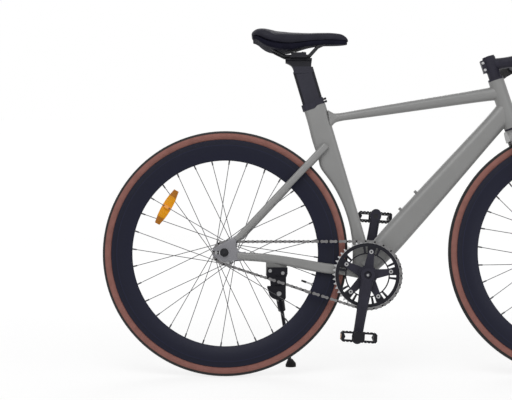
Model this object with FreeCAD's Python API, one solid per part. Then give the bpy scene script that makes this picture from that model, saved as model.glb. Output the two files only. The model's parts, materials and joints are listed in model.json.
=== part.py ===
import FreeCAD, Part
import math
import os
from FreeCAD import Placement, Rotation, Vector

os.makedirs("parts", exist_ok=True)

# All lengths are in mm and all angles in degrees.
# Bike frame: x forward, y to the rider's left, z up, origin on the ground under the rear axle.

# Stance on the kickstand, leaning to the left
LEAN = 7.0

# Wheels: 30-622 tyres on deep aero rims
BEAD_RADIUS = 311.0
TYRE_WIDTH = 30.0
TYRE_RADIUS = BEAD_RADIUS + TYRE_WIDTH
TYRE_WALL = 2.8
RIM_EDGE_RADIUS = BEAD_RADIUS + 5.0
RIM_DEPTH = 58.0
RIM_WIDTH = 23.0
RIM_TRACK_HEIGHT = 14.5
RIM_WALL = 2.2
SPOKE_COUNT = 32
SPOKE_RADIUS = 1.0
SPOKE_PHASE = 8.45
SPOKE_LEAD = 67.5
NIPPLE_RADIUS = 2.1
NIPPLE_LENGTH = 11.0
VALVE_ANGLE = -19.7
VALVE_LENGTH = 33.0
VALVE_CAP_LENGTH = 14.0
REFLECTOR_SPOKE = 12
REFLECTOR_RADIUS = 210.0
REFLECTOR_LENGTH = 112.0
REFLECTOR_HEIGHT = 28.0
REFLECTOR_THICKNESS = 7.0
FRONT_WHEEL_TURN = 100.0

# Hubs
FLANGE_HOLE_RADIUS = 30.0
FLANGE_RADIUS = 34.5
FLANGE_THICKNESS = 3.0
REAR_FLANGE_OFFSET = 31.0
FRONT_FLANGE_OFFSET = 32.0
HUB_BARREL_RADIUS = 15.0
REAR_OLD = 120.0
FRONT_OLD = 100.0
REAR_AXLE_RADIUS = 5.0
FRONT_AXLE_RADIUS = 4.5
BEARING_RADIUS = 13.0
BEARING_WIDTH = 8.0
RUNNING_CLEARANCE = 0.05

# Drivetrain: 1/2 x 1/8 inch chain
CHAIN_PITCH = 12.7
RING_TEETH = 46
COG_TEETH = 15
RING_WRAP_LINKS = 25
COG_WRAP_LINKS = 7
SPAN_LINKS = 31
CHAIN_LINE = 42.0
ROLLER_RADIUS = 3.87
SEAT_RADIUS = 3.95
TOOTH_HEIGHT = 3.0
TOOTH_THICKNESS = 2.9
PLATE_HEIGHT = 8.6
PLATE_THICKNESS = 1.1
INNER_GAP = 3.3
PIN_RADIUS = 1.8
COG_THREAD_RADIUS = 17.2

# Cranks and pedals
CRANK_LENGTH = 170.0
CRANK_ANGLE = -99.8
CRANK_FACE = 73.0
BOLT_CIRCLE_RADIUS = 65.0
BOLT_PHASE = 8.5
SPIDER_ARMS = 5
RING_INNER_RADIUS = 58.0
RING_WINDOW_INNER = 61.5
RING_WINDOW_OUTER = 79.0
SPINDLE_RADIUS = 8.5
PEDAL_INNER = 85.0
PEDAL_WIDTH = 93.0
PEDAL_LENGTH = 96.0
PEDAL_HEIGHT = 28.0
PEDAL_TILT = 3.6
PEDAL_BARREL_RADIUS = 11.0
PEDAL_AXLE_RADIUS = 5.0

# Frame
BB_DROP = 62.0
BB_SHELL_RADIUS = 25.0
BB_SHELL_WIDTH = 68.0
SEAT_ANGLE = 73.6
SEAT_SETBACK = 2.4
SEAT_TUBE_FRONT = 28.7
SEAT_TUBE_REAR = -35.0
SEAT_TUBE_CUTOUT = TYRE_RADIUS + 13.5
SEAT_TUBE_TOP = 487.0
SEAT_TUBE_STEP = 6.4
TUBE_WALL = 2.4
STAY_WALL = 1.8
WHEELBASE = 960.0
HEAD_ANGLE = 72.0
HEAD_TUBE_LENGTH = 140.0
HEAD_TUBE_RADIUS = 22.0
HEAD_TUBE_BORE = 17.0
DROPOUT_THICKNESS = 6.5
DROPOUT_RADIUS = 23.5
DROPOUT_TIP_RADIUS = 15.0
DROPOUT_TIP_BACK = 19.0
BOSS_PLACE = 178.0
BOSS_DISTANCE = 64.0
BOSS_RADIUS = 4.2
BOSS_HEIGHT = 7.0
BOSS_BORE = 2.1

# Fork and cockpit
FORK_OFFSET = 45.0
FORK_LENGTH = TYRE_RADIUS + 35.0
STEERER_RADIUS = 14.3
STEERER_WALL = 2.4
LOWER_CUP_HEIGHT = 5.0
UPPER_CUP_HEIGHT = 6.0
SPACER_HEIGHT = 10.0
STEM_HEIGHT = 40.0
STEM_LENGTH = 90.0
STEM_RISE = 8.0
BAR_CLAMP_RADIUS = 15.9
BAR_RADIUS = 11.1
BAR_HALF_WIDTH = 280.0
BAR_SWEEP = 6.0
BAR_BEND = 75.0
GRIP_LENGTH = 125.0
GRIP_RADIUS = 15.5

# Seatpost and saddle
POST_FRONT = 25.0
POST_REAR = -33.2
POST_FRONT_RADIUS = 10.6
POST_REAR_RADIUS = 8.4
POST_CLEARANCE = 0.08
POST_INSERTION = 90.0
POST_BORE_DEPTH = 147.0
POST_TOP = 623.5
COLLAR_HEIGHT = 22.0
RAIL_RADIUS = 3.5
RAIL_SPREAD = 22.0
RAIL_HEIGHT = 13.8

# Kickstand on the left chainstay
STAND_PLACE = 0.36
STAND_PIVOT_AHEAD = 8.4
STAND_PIVOT_OUT = 54.0
STAND_PIVOT_DROP = 86.2
STAND_TILT = 16.0
STAND_FOOT_X = 183.0
STAND_FOOT_Y = 165.0
STAND_LEG_RADIUS = 5.2
STAND_EYE_RADIUS = 11.0
STAND_EYE_WIDTH = 14.0
STAND_FOOT_RADIUS = 15.0

UP = Vector(0, 0, 1)
LEFT = Vector(0, 1, 0)
FORWARD = Vector(1, 0, 0)
ORIGIN = Vector(0, 0, 0)


# Small geometry helpers


def polar(radius, angle, y=0.0):
    """Point in a wheel or sprocket plane; the angle runs from forward towards up."""
    a = math.radians(angle)
    return Vector(radius * math.cos(a), y, radius * math.sin(a))


def lerp(a, b, f):
    """Point a fraction f of the way from a to b."""
    return a + (b - a) * f


def rod(start, end, radius):
    """Round bar from one point to another."""
    axis = end - start
    return Part.makeCylinder(radius, axis.Length, start, axis)


def sleeve(start, end, radius, bore):
    """Round tube from one point to another."""
    return rod(start, end, radius).cut(rod(start, end, bore))


def y_disc(radius, y0, y1, centre=ORIGIN):
    """Cylinder about a crosswise axis between two y values."""
    low = min(y0, y1)
    return Part.makeCylinder(radius, abs(y1 - y0), centre + LEFT * low, LEFT)


def box(x0, x1, y0, y1, z0, z1):
    """Box between pairs of coordinates."""
    low = Vector(min(x0, x1), min(y0, y1), min(z0, z1))
    return Part.makeBox(abs(x1 - x0), abs(y1 - y0), abs(z1 - z0), low)


def frame_box(origin, axes, spans):
    """Box along three given axes, with a (low, high) span on each."""
    corner = origin
    for axis, span in zip(axes, spans):
        corner = corner + axis * span[0]
    first, second, third = [axis * (span[1] - span[0]) for axis, span in zip(axes, spans)]
    face = Part.Face(Part.makePolygon([
        corner, corner + first, corner + first + second, corner + second, corner]))
    return face.extrude(third)


def closed_wire(start, steps, place):
    """Closed wire; a step is an end point, or a (through, end) pair for an arc."""
    edges = []
    here = place(*start)
    for step in steps:
        if isinstance(step[0], tuple):
            end = place(*step[1])
            edges.append(Part.Arc(here, place(*step[0]), end).toShape())
        else:
            end = place(*step)
            edges.append(Part.makeLine(here, end))
        here = end
    return Part.Wire(edges)


def in_radius_plane(radius, y):
    """Half-plane of a turned section."""
    return Vector(radius, y, 0)


def turned(start, steps):
    """Solid of revolution about the crosswise axis from a (radius, y) outline."""
    face = Part.Face(closed_wire(start, steps, in_radius_plane))
    return face.revolve(ORIGIN, LEFT, 360)


def side_plate(start, steps, y0, y1):
    """Plate with a side-view outline in (x, z), between two y values."""
    wire = closed_wire(start, steps, lambda x, z: Vector(x, y0, z))
    return Part.Face(wire).extrude(LEFT * (y1 - y0))


def hull_wire(centre, along, across, front, rear, front_radius, rear_radius):
    """Outline round two circles: front and rear edges are measured along one direction."""
    a = front - front_radius
    b = rear + rear_radius
    cosine = (rear_radius - front_radius) / (a - b)
    sine = math.sqrt(1.0 - cosine * cosine)

    def place(u, v):
        return centre + along * u + across * v

    half = math.acos(cosine) / 2.0
    wide = half + math.pi / 2.0
    rear_top = (b + rear_radius * cosine, rear_radius * sine)
    front_top = (a + front_radius * cosine, front_radius * sine)
    front_mid = (a + front_radius * math.cos(half), front_radius * math.sin(half))
    rear_mid = (b + rear_radius * math.cos(wide), rear_radius * math.sin(wide))
    front_tip = (front, 0.0)
    rear_tip = (rear, 0.0)
    front_low = (front_top[0], -front_top[1])
    rear_low = (rear_top[0], -rear_top[1])
    return closed_wire(
        rear_top,
        [front_top, (front_mid, front_tip), ((front_mid[0], -front_mid[1]), front_low),
         rear_low, ((rear_mid[0], -rear_mid[1]), rear_tip), (rear_mid, rear_top)],
        place)


def positive(shape):
    """The same solid with its faces turned outward."""
    if shape.Volume < 0:
        shape.reverse()
    return shape


def loft(wires):
    """Smooth solid through closed wires."""
    return positive(Part.makeLoft(wires, True, False, False, 2))


def hull_plate(start, end, start_radius, end_radius, y0, y1):
    """Flat bar with two round ends in the side view, between two y values."""
    along = end - start
    length = along.Length
    along = along / length
    across = along.cross(LEFT)
    base = Vector(start.x, y0, start.z)
    wire = hull_wire(base, along, across, length + end_radius, -start_radius, end_radius, start_radius)
    return positive(Part.Face(wire).extrude(LEFT * (y1 - y0)))


def hexagon(centre, axis, flats, height):
    """Hexagonal prism."""
    radius = flats / math.sqrt(3.0)
    side = axis.cross(UP if abs(axis.z) < 0.9 else FORWARD)
    side.normalize()
    other = axis.cross(side)
    points = []
    for i in range(7):
        a = math.radians(60 * i)
        points.append(centre + side * (radius * math.cos(a)) + other * (radius * math.sin(a)))
    return Part.Face(Part.makePolygon(points)).extrude(axis * height)


def mirrored(shape):
    """The same shape on the other side of the bike."""
    return shape.mirror(ORIGIN, LEFT)


def moved(shape, offset):
    """Copy shifted by a vector."""
    copy = shape.copy()
    copy.translate(offset)
    return copy


def turned_about_y(shape, angle, centre=ORIGIN):
    """Copy turned in the side view, positive from forward towards up."""
    copy = shape.copy()
    copy.rotate(centre, LEFT, -angle)
    return copy


def fused(shapes):
    """One solid from several overlapping ones."""
    return shapes[0].multiFuse(shapes[1:]).removeSplitter()


# Derived layout


def pitch_radius(teeth):
    """Pitch circle of a sprocket."""
    return CHAIN_PITCH / (2.0 * math.sin(math.pi / teeth))


RING_RADIUS = pitch_radius(RING_TEETH)
COG_RADIUS = pitch_radius(COG_TEETH)
RING_HALF_WRAP = RING_WRAP_LINKS * 180.0 / RING_TEETH
COG_HALF_WRAP = COG_WRAP_LINKS * 180.0 / COG_TEETH


def centre_distance():
    """Distance between axle and crank axis at which a whole number of links closes the loop."""
    ring = polar(RING_RADIUS, RING_HALF_WRAP)
    cog = polar(COG_RADIUS, COG_HALF_WRAP)
    span = SPAN_LINKS * CHAIN_PITCH
    return math.sqrt(span ** 2 - (ring.z - cog.z) ** 2) - ring.x - cog.x


STAY_LENGTH = centre_distance()
REAR_AXLE = Vector(0, 0, TYRE_RADIUS)
FRONT_AXLE = Vector(WHEELBASE, 0, TYRE_RADIUS)
BB = Vector(math.sqrt(STAY_LENGTH ** 2 - BB_DROP ** 2), 0, TYRE_RADIUS - BB_DROP)
DRIVE_ANGLE = -math.degrees(math.asin(BB_DROP / STAY_LENGTH))
SEAT_UP = polar(1.0, 180.0 - SEAT_ANGLE)
SEAT_FORWARD = polar(1.0, 90.0 - SEAT_ANGLE)
HEAD_UP = polar(1.0, 180.0 - HEAD_ANGLE)
HEAD_FORWARD = polar(1.0, 90.0 - HEAD_ANGLE)
STEER_BASE = FRONT_AXLE - HEAD_FORWARD * FORK_OFFSET
HEAD_BOTTOM = FORK_LENGTH + LOWER_CUP_HEIGHT
HEAD_TOP = HEAD_BOTTOM + HEAD_TUBE_LENGTH
STACK_BOTTOM = HEAD_TOP + UPPER_CUP_HEIGHT + 0.3
STEM_BOTTOM = STACK_BOTTOM + 2 * SPACER_HEIGHT
STEM_TOP = STEM_BOTTOM + STEM_HEIGHT
STEM_AXIS = polar(1.0, STEM_RISE)
STEM_ACROSS = polar(1.0, 90.0 + STEM_RISE)
BAR_CENTRE = STEER_BASE + HEAD_UP * (STEM_BOTTOM + STEM_HEIGHT / 2) + STEM_AXIS * STEM_LENGTH
LEAN_SIN = math.sin(math.radians(LEAN))
LEAN_COS = math.cos(math.radians(LEAN))
GROUND_DROP = TYRE_WIDTH / 2 * (1.0 - LEAN_COS)
STAND_AXIS = Vector(0, math.cos(math.radians(STAND_TILT)), math.sin(math.radians(STAND_TILT)))
STAND_UP = Vector(0, -math.sin(math.radians(STAND_TILT)), math.cos(math.radians(STAND_TILT)))
GROUND_NORMAL = Vector(0, -LEAN_SIN, LEAN_COS)
STAND_BASE = REAR_AXLE + (BB - REAR_AXLE) * STAND_PLACE
STAND_PIVOT = STAND_BASE + Vector(STAND_PIVOT_AHEAD, STAND_PIVOT_OUT, -STAND_PIVOT_DROP)
STAND_FOOT = Vector(
    STAND_FOOT_X, STAND_FOOT_Y, (STAND_FOOT_Y * LEAN_SIN - GROUND_DROP) / LEAN_COS)


def seat_point(t, e, y=0.0):
    """Point a distance t up the seat tube line and e ahead of it."""
    return BB + SEAT_UP * t + SEAT_FORWARD * (e - SEAT_SETBACK) + LEFT * y


def steer_point(t, ahead=0.0, y=0.0):
    """Point a distance t up the steering axis."""
    return STEER_BASE + HEAD_UP * t + HEAD_FORWARD * ahead + LEFT * y


# Frame tubes


def section(centre, along, across, front, rear, front_radius, rear_radius, wall=0.0):
    """One outline of a frame tube, or its inside at a wall thickness."""
    return hull_wire(
        centre, along, across, front - wall, rear + wall, front_radius - wall, rear_radius - wall)


def tube(stations, inside_stations, wall):
    """Filled tube through its stations, and the same tube with a bore through its inside stations."""
    outer = loft([section(*station) for station in stations])
    inner = loft([section(*station, wall) for station in inside_stations])
    return outer, outer.cut(inner)


def seat_tube_rear(t):
    """Rear edge of the seat tube, with the arc cut out of it for the wheel."""
    gap_sq = SEAT_TUBE_CUTOUT ** 2 - ((BB - REAR_AXLE).dot(SEAT_UP) + t) ** 2
    cut = math.sqrt(gap_sq) - (BB - REAR_AXLE).dot(SEAT_FORWARD) + SEAT_SETBACK
    return max(SEAT_TUBE_REAR, cut)


def seat_tube_station(t):
    """Aero section of the seat tube at a height."""
    rear = seat_tube_rear(t)
    limit = 0.47 * (SEAT_TUBE_FRONT - rear)
    return (seat_point(t, 0), SEAT_FORWARD, LEFT, SEAT_TUBE_FRONT, rear,
            min(13.6, limit), min(11.2, limit))


def post_section(t, clearance):
    """Section of the seatpost, or of its bore at a clearance."""
    return hull_wire(
        seat_point(t, 0), SEAT_FORWARD, LEFT,
        POST_FRONT + clearance, POST_REAR - clearance,
        POST_FRONT_RADIUS + clearance, POST_REAR_RADIUS + clearance)


def above_seat_edge(lift):
    """Everything above the stepped top edge of the seat tube, raised by a lift."""
    base = SEAT_TUBE_TOP + lift
    step = base + SEAT_TUBE_STEP
    wire = closed_wire(
        (-80.0, base),
        [(-9.0, base), ((-2.0, base + 1.2), (1.0, (base + step) / 2)),
         ((4.0, step - 1.2), (11.0, step)), (80.0, step), (80.0, step + 120.0), (-80.0, step + 120.0),
         (-80.0, base)],
        lambda e, t: seat_point(t, e, -60.0))
    return positive(Part.Face(wire).extrude(LEFT * 120.0))


def seat_tube_solids():
    """Seat tube, filled and hollow, with its stepped top and its bore for the post."""
    low_heights = [14, 40, 70, 105, 140, 171, 200, 230, 258, 284, 306, 322]
    high_heights = [SEAT_TUBE_TOP - down for down in (147, 117, 57, -20)]
    stations = [seat_tube_station(t) for t in low_heights + high_heights]
    outer = loft([section(*station) for station in stations])
    inside = loft([section(*seat_tube_station(t), TUBE_WALL) for t in low_heights])
    bore_ends = (SEAT_TUBE_TOP - POST_BORE_DEPTH, SEAT_TUBE_TOP + 33.0)
    bore = loft([post_section(t, POST_CLEARANCE) for t in bore_ends])
    shell = outer.cut(inside).cut(bore).cut(above_seat_edge(0.0)).cut(bottom_bracket_filled())
    return outer.cut(above_seat_edge(0.0)), shell


def bottom_bracket_filled():
    """Bottom bracket shell without its bore."""
    return y_disc(BB_SHELL_RADIUS, -BB_SHELL_WIDTH / 2, BB_SHELL_WIDTH / 2, BB)


def head_tube_filled():
    """Head tube without its bore."""
    low = steer_point(HEAD_BOTTOM)
    high = steer_point(HEAD_TOP)
    return rod(low, high, HEAD_TUBE_RADIUS)


TOP_REAR = seat_point(448.6, 26.3)
TOP_FRONT = steer_point(HEAD_TOP - 35.6)
TOP_LENGTH = (TOP_FRONT - TOP_REAR).Length
TOP_ALONG = (TOP_FRONT - TOP_REAR) / TOP_LENGTH
TOP_ACROSS = TOP_ALONG.cross(LEFT)


def top_tube_station(distance, half_height, radius):
    """Section of the top tube at a distance from its rear end."""
    return (TOP_REAR + TOP_ALONG * distance, TOP_ACROSS, LEFT, half_height, -half_height, radius, radius)


def top_tube_solids():
    """Top tube with flared ends."""
    stations = [
        top_tube_station(0, 26.0, 13.5), top_tube_station(9, 18.5, 11.6),
        top_tube_station(18, 13.2, 10.6), top_tube_station(30, 11.7, 10.4),
        top_tube_station(69, 12.0, 10.8), top_tube_station(TOP_LENGTH / 2, 15.0, 12.8),
        top_tube_station(TOP_LENGTH - 69, 17.6, 15.2), top_tube_station(TOP_LENGTH - 26, 19.0, 16.6),
        top_tube_station(TOP_LENGTH, 23.5, 19.0)]
    inside = [
        top_tube_station(-8, 11.4, 10.2), top_tube_station(69, 12.0, 10.8),
        top_tube_station(TOP_LENGTH / 2, 15.0, 12.8), top_tube_station(TOP_LENGTH + 12, 18.2, 15.8)]
    return tube(stations, inside, TUBE_WALL)


DOWN_LOW = BB + Vector(2.6, 0, 27.0)
DOWN_HIGH = steer_point(HEAD_BOTTOM + 51.0)
DOWN_ALONG = (DOWN_HIGH - DOWN_LOW) / (DOWN_HIGH - DOWN_LOW).Length
DOWN_FRONT = DOWN_ALONG.cross(LEFT) * -1.0


def down_tube_station(t, half, front_radius, rear_radius):
    """Section of the down tube at a distance up its line; its front faces the ground."""
    return (DOWN_LOW + DOWN_ALONG * t, DOWN_FRONT * -1.0, LEFT, half, -half, front_radius, rear_radius)


def down_tube_solids():
    """Deep aero down tube."""
    length = (DOWN_HIGH - DOWN_LOW).Length
    stations = [
        down_tube_station(-8, 26.0, 19.0, 17.0), down_tube_station(30, 31.5, 20.0, 17.0),
        down_tube_station(75, 35.0, 20.0, 16.5), down_tube_station(180, 35.2, 20.0, 16.0),
        down_tube_station(320, 33.0, 20.0, 16.5), down_tube_station(450, 30.0, 20.0, 17.0),
        down_tube_station(length - 45, 28.6, 19.6, 17.5), down_tube_station(length, 30.0, 20.6, 19.0)]
    return tube(stations, stations, TUBE_WALL)


def chainstay_station(f, lift, y, height, thickness):
    """Upright section of the right chainstay, a fraction of the way from the axle to the cranks."""
    radius = thickness / 2 - 0.2
    centre = lerp(REAR_AXLE, BB, f) + UP * lift - LEFT * y
    return (centre, UP, LEFT, height / 2, -height / 2, radius, radius)


def chainstay_solids():
    """Right chainstay, bent inward past the tyre and the chainring."""
    stations = [
        chainstay_station(0.0915, -3.1, 63.2, 19.0, 12.6), chainstay_station(0.178, 0.4, 62.6, 20.6, 13.4),
        chainstay_station(0.285, 3.9, 59.6, 21.6, 13.6), chainstay_station(0.422, 4.6, 49.6, 24.0, 13.6),
        chainstay_station(0.564, 3.0, 35.2, 27.0, 13.4), chainstay_station(0.681, 1.6, 27.4, 28.2, 13.2),
        chainstay_station(0.793, 3.0, 25.6, 27.0, 13.2), chainstay_station(0.986, 1.1, 25.2, 28.0, 14.4)]
    return tube(stations, stations, STAY_WALL)


SEATSTAY_LOW = REAR_AXLE + Vector(33.0, -63.2, 35.5)
SEATSTAY_HIGH = seat_point(378.6, -2.6, -17.0)


def seatstay_solids():
    """Right seatstay, from the dropout to the side of the seat tube."""
    along = SEATSTAY_HIGH - SEATSTAY_LOW
    in_side = Vector(along.x, 0, along.z)
    in_side.normalize()
    across = LEFT.cross(in_side)
    stations = []
    for f, half, radius, bow in (
            (0.0, 8.4, 6.0, 0.0), (0.12, 9.0, 6.2, -1.0), (0.45, 9.8, 6.2, -3.0),
            (0.8, 10.0, 6.2, -3.0), (1.0, 10.6, 6.8, 0.0)):
        centre = lerp(SEATSTAY_LOW, SEATSTAY_HIGH, f) + LEFT * bow
        stations.append((centre, across, LEFT, half, -half, radius, radius))
    return tube(stations, stations, STAY_WALL)


def dropout_plate():
    """Right dropout: lobe with a rear-facing axle slot and arms to both stays."""
    y0 = -REAR_OLD / 2 - DROPOUT_THICKNESS
    y1 = -REAR_OLD / 2
    tip = REAR_AXLE - FORWARD * DROPOUT_TIP_BACK
    lobe = hull_plate(REAR_AXLE, tip, DROPOUT_RADIUS, DROPOUT_TIP_RADIUS, y0, y1)
    upper = hull_plate(REAR_AXLE, REAR_AXLE + Vector(44, 0, 46), DROPOUT_RADIUS, 7.4, y0, y1)
    lower = hull_plate(REAR_AXLE, REAR_AXLE + Vector(58, 0, -10.4), DROPOUT_RADIUS, 8.4, y0, y1)
    web = side_plate(
        (0.0, TYRE_RADIUS), [(44.0, TYRE_RADIUS + 42.0), (62.0, TYRE_RADIUS - 8.0), (0.0, TYRE_RADIUS)],
        y0, y1)
    hollow = y_disc(23.0, y0, y1, REAR_AXLE + Vector(66, 0, 24))
    half_slot = REAR_AXLE_RADIUS + RUNNING_CLEARANCE
    slot = hull_plate(
        REAR_AXLE + Vector(7, 0, 0), REAR_AXLE - Vector(80, 0, 0), half_slot, half_slot, y0, y1)
    return fused([lobe, upper, lower, positive(web)]).cut(hollow).cut(slot)


def by_stand(ahead, up):
    """Side-view point measured from the place of the kickstand on the chainstay."""
    return (STAND_BASE.x + ahead, STAND_BASE.z + up)


def stand_bolt_places():
    """Side-view places of the two bolts that hold the kickstand."""
    return [by_stand(-16.6, -26.3), by_stand(18.9, -32.7)]


def stand_tab():
    """Tab under the left chainstay that carries the kickstand, drilled for its two bolts."""
    tab = positive(side_plate(
        by_stand(-28.6, 3.3),
        [by_stand(-28.6, -32.7), (by_stand(-27.6, -39.7), by_stand(-21.6, -42.7)), by_stand(22.4, -47.7),
         (by_stand(27.4, -45.7), by_stand(29.9, -39.7)), by_stand(30.4, -4.7), by_stand(-28.6, 3.3)],
        52.0, 57.0))
    return tab.cut([y_disc(3.0, 50.0, 60.0, Vector(x, 0, z)) for x, z in stand_bolt_places()])


def frame_nodes():
    """All the welded pieces of the frame."""
    seat_filled, seat_tube = seat_tube_solids()
    shell = bottom_bracket_filled()
    head = head_tube_filled()
    down_filled, down_hollow = down_tube_solids()
    top_filled, top_hollow = top_tube_solids()
    plate = dropout_plate()
    left_plate = mirrored(plate)
    stay_filled, stay_hollow = chainstay_solids()
    seatstay_filled, seatstay_hollow = seatstay_solids()
    bore = rod(steer_point(HEAD_BOTTOM - 5), steer_point(HEAD_TOP + 5), HEAD_TUBE_BORE)
    right_stay = stay_hollow.cut(plate).cut(shell).cut(seat_filled).cut(down_filled)
    tab = stand_tab().cut(mirrored(stay_filled))
    left_stay = fused([mirrored(right_stay), tab])
    right_seatstay = seatstay_hollow.cut(plate).cut(seat_filled)
    down_tube = down_hollow.cut(shell).cut(head).cut(seat_filled)
    top_tube = top_hollow.cut(seat_filled).cut(head).cut(down_filled)
    bosses = [boss for boss, _ in bottle_bosses()]
    for _, hole in bottle_bosses():
        down_tube = down_tube.cut(hole)
    bb_bore = y_disc(17.3, -BB_SHELL_WIDTH, BB_SHELL_WIDTH, BB)
    return {
        "head_tube": [head.cut(bore)],
        "top_tube": [largest(top_tube)],
        "down_tube": [largest(down_tube)],
        "seat_tube": [largest(seat_tube)],
        "bottom_bracket_shell": [shell.cut(bb_bore)],
        "chainstays": [largest(right_stay), largest(left_stay)],
        "seatstays": [largest(right_seatstay), mirrored(largest(right_seatstay))],
        "dropouts": [plate, left_plate],
        "bottle_bosses": bosses,
    }


def largest(shape):
    """The biggest solid of a shape, leaving out trimmed-off ends."""
    return max(shape.Solids, key=lambda solid: solid.Volume)


def boss_frames():
    """Centre of each bottle boss on the down tube and the direction it stands in."""
    normal = DOWN_FRONT * -1.0
    frames = []
    for distance in (BOSS_PLACE, BOSS_PLACE + BOSS_DISTANCE):
        frames.append((DOWN_LOW + DOWN_ALONG * distance + normal * 34.6, normal))
    return frames


def bottle_bosses():
    """Threaded posts for a bottle cage, each with the hole it sits in."""
    pairs = []
    for centre, normal in boss_frames():
        top = centre + normal * BOSS_HEIGHT
        post = rod(centre - normal * 7.0, top, BOSS_RADIUS)
        bore = rod(centre - normal * 12.0, top + normal, BOSS_BORE)
        hole = rod(centre - normal * 12.0, top, BOSS_RADIUS)
        pairs.append((post.cut(bore), hole))
    return pairs


# Pieces bolted or pressed into the frame


def seat_clamp_nodes():
    """Seat collar round the post, with two cap screws standing out at its front."""
    low = SEAT_TUBE_TOP - 10.0
    high = SEAT_TUBE_TOP + 60.0

    def collar_section(t):
        return hull_wire(
            seat_point(t, 0), SEAT_FORWARD, LEFT,
            SEAT_TUBE_FRONT - 1.2, SEAT_TUBE_REAR - 2.6, 13.8, 12.4)

    body = loft([collar_section(low), collar_section(high)])
    bore = loft([post_section(low - 5, POST_CLEARANCE), post_section(high + 5, POST_CLEARANCE)])
    body = body.common(above_seat_edge(0.0)).cut(above_seat_edge(COLLAR_HEIGHT - 4.0))
    slit = frame_box(
        seat_point(SEAT_TUBE_TOP, 0), (SEAT_FORWARD, LEFT, SEAT_UP), ((10, 60), (-0.8, 0.8), (-10, 60)))
    body = body.cut(bore).cut(slit)
    screws = []
    holes = []
    for t in (SEAT_TUBE_TOP + 11.0, SEAT_TUBE_TOP + 19.0):
        for side in (-1.0, 1.0):
            tip = seat_point(t, POST_FRONT + 0.6, side * 5.4)
            head = seat_point(t, SEAT_TUBE_FRONT - 0.4, side * 5.4)
            end = seat_point(t, SEAT_TUBE_FRONT + 6.4, side * 5.4)
            screws.append(rod(tip, head, 1.6).fuse(rod(head, end, 2.6)))
            holes.append(rod(tip - SEAT_FORWARD, end, 1.6))
            holes.append(rod(head, end, 2.6))
    return {"seat_clamp": [largest(body.cut(holes))], "seat_clamp_bolts": screws}


def headset_nodes():
    """Headset cups with their bearings, pressed into both ends of the head tube."""
    bore = STEERER_RADIUS + RUNNING_CLEARANCE
    lower = sleeve(steer_point(FORK_LENGTH + 0.3), steer_point(HEAD_BOTTOM), 21.6, bore)
    lower = lower.fuse(
        sleeve(steer_point(HEAD_BOTTOM), steer_point(HEAD_BOTTOM + 12), HEAD_TUBE_BORE, bore))
    upper = sleeve(steer_point(HEAD_TOP), steer_point(HEAD_TOP + UPPER_CUP_HEIGHT), 21.6, bore)
    upper = upper.fuse(sleeve(steer_point(HEAD_TOP - 12), steer_point(HEAD_TOP), HEAD_TUBE_BORE, bore))
    return {"headset_bearings": [lower.removeSplitter(), upper.removeSplitter()]}


def bottom_bracket_nodes():
    """Cups with bearings screwed into the bottom bracket shell."""
    half = BB_SHELL_WIDTH / 2
    bore = SPINDLE_RADIUS + RUNNING_CLEARANCE
    cups = []
    for side in (-1.0, 1.0):
        flange = y_disc(20.5, side * half, side * (half + 3.5), BB)
        thread = y_disc(17.3, side * (half - 18), side * half, BB)
        cup = flange.fuse(thread).removeSplitter()
        cups.append(cup.cut(y_disc(bore, side * (half - 30), side * (half + 10), BB)))
    return {"bottom_bracket_cups": cups}


def axle_solid(radius, old, hub_end, nut_reach):
    """Wheel axle with its two shoulders against the frame ends."""
    axle = y_disc(radius, -nut_reach, nut_reach)
    shoulders = [y_disc(8.5, side * (hub_end + 0.3), side * old / 2) for side in (-1.0, 1.0)]
    return fused([axle] + shoulders)


def axle_nut(radius, face, side, flats):
    """Flanged track nut outside a frame end."""
    flange = y_disc(flats * 0.68, side * face, side * (face + 2.6))
    body = hexagon(LEFT * (side * (face + 2.6)), LEFT * side, flats, 8.4)
    return flange.fuse(positive(body)).removeSplitter().cut(y_disc(radius, side * face, side * (face + 30)))


def axle_group(centre, radius, old, hub_end, plate, flats):
    """Axle and its two nuts, at a wheel centre."""
    face = old / 2 + plate
    pieces = [axle_solid(radius, old, hub_end, face + 15.0)]
    pieces += [axle_nut(radius, face, side, flats) for side in (-1.0, 1.0)]
    return [moved(piece, centre) for piece in pieces]


# Wheels


def rim_profile():
    """Deep hollow rim with bead hooks, as (radius, y) outlines of the wall and the chamber."""
    apex = RIM_EDGE_RADIUS - RIM_DEPTH
    track = RIM_EDGE_RADIUS - RIM_TRACK_HEIGHT
    half = RIM_WIDTH / 2
    mid = (apex + track) / 2
    seat = RIM_EDGE_RADIUS - 5.5
    hook = half - RIM_WALL
    outer = turned(
        (apex + 2.5, -5.0),
        [((apex, 0.0), (apex + 2.5, 5.0)), ((mid, half - 2.0), (track, half)), (RIM_EDGE_RADIUS, half),
         (RIM_EDGE_RADIUS, hook), (seat, hook), (seat - 2.5, 4.0), (seat - 2.5, -4.0), (seat, -hook),
         (RIM_EDGE_RADIUS, -hook), (RIM_EDGE_RADIUS, -half), (track, -half),
         ((mid, -half + 2.0), (apex + 2.5, -5.0))])
    inner_half = half - RIM_WALL - 0.2
    chamber = turned(
        (apex + 4.2, -3.0),
        [((apex + 3.0, 0.0), (apex + 4.2, 3.0)), ((mid, inner_half - 2.1), (track, inner_half)),
         (seat - 4.5, inner_half), (seat - 4.5, -inner_half), (track, -inner_half),
         ((mid, -inner_half + 2.1), (apex + 4.2, -3.0))])
    return positive(outer), positive(chamber)


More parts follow.
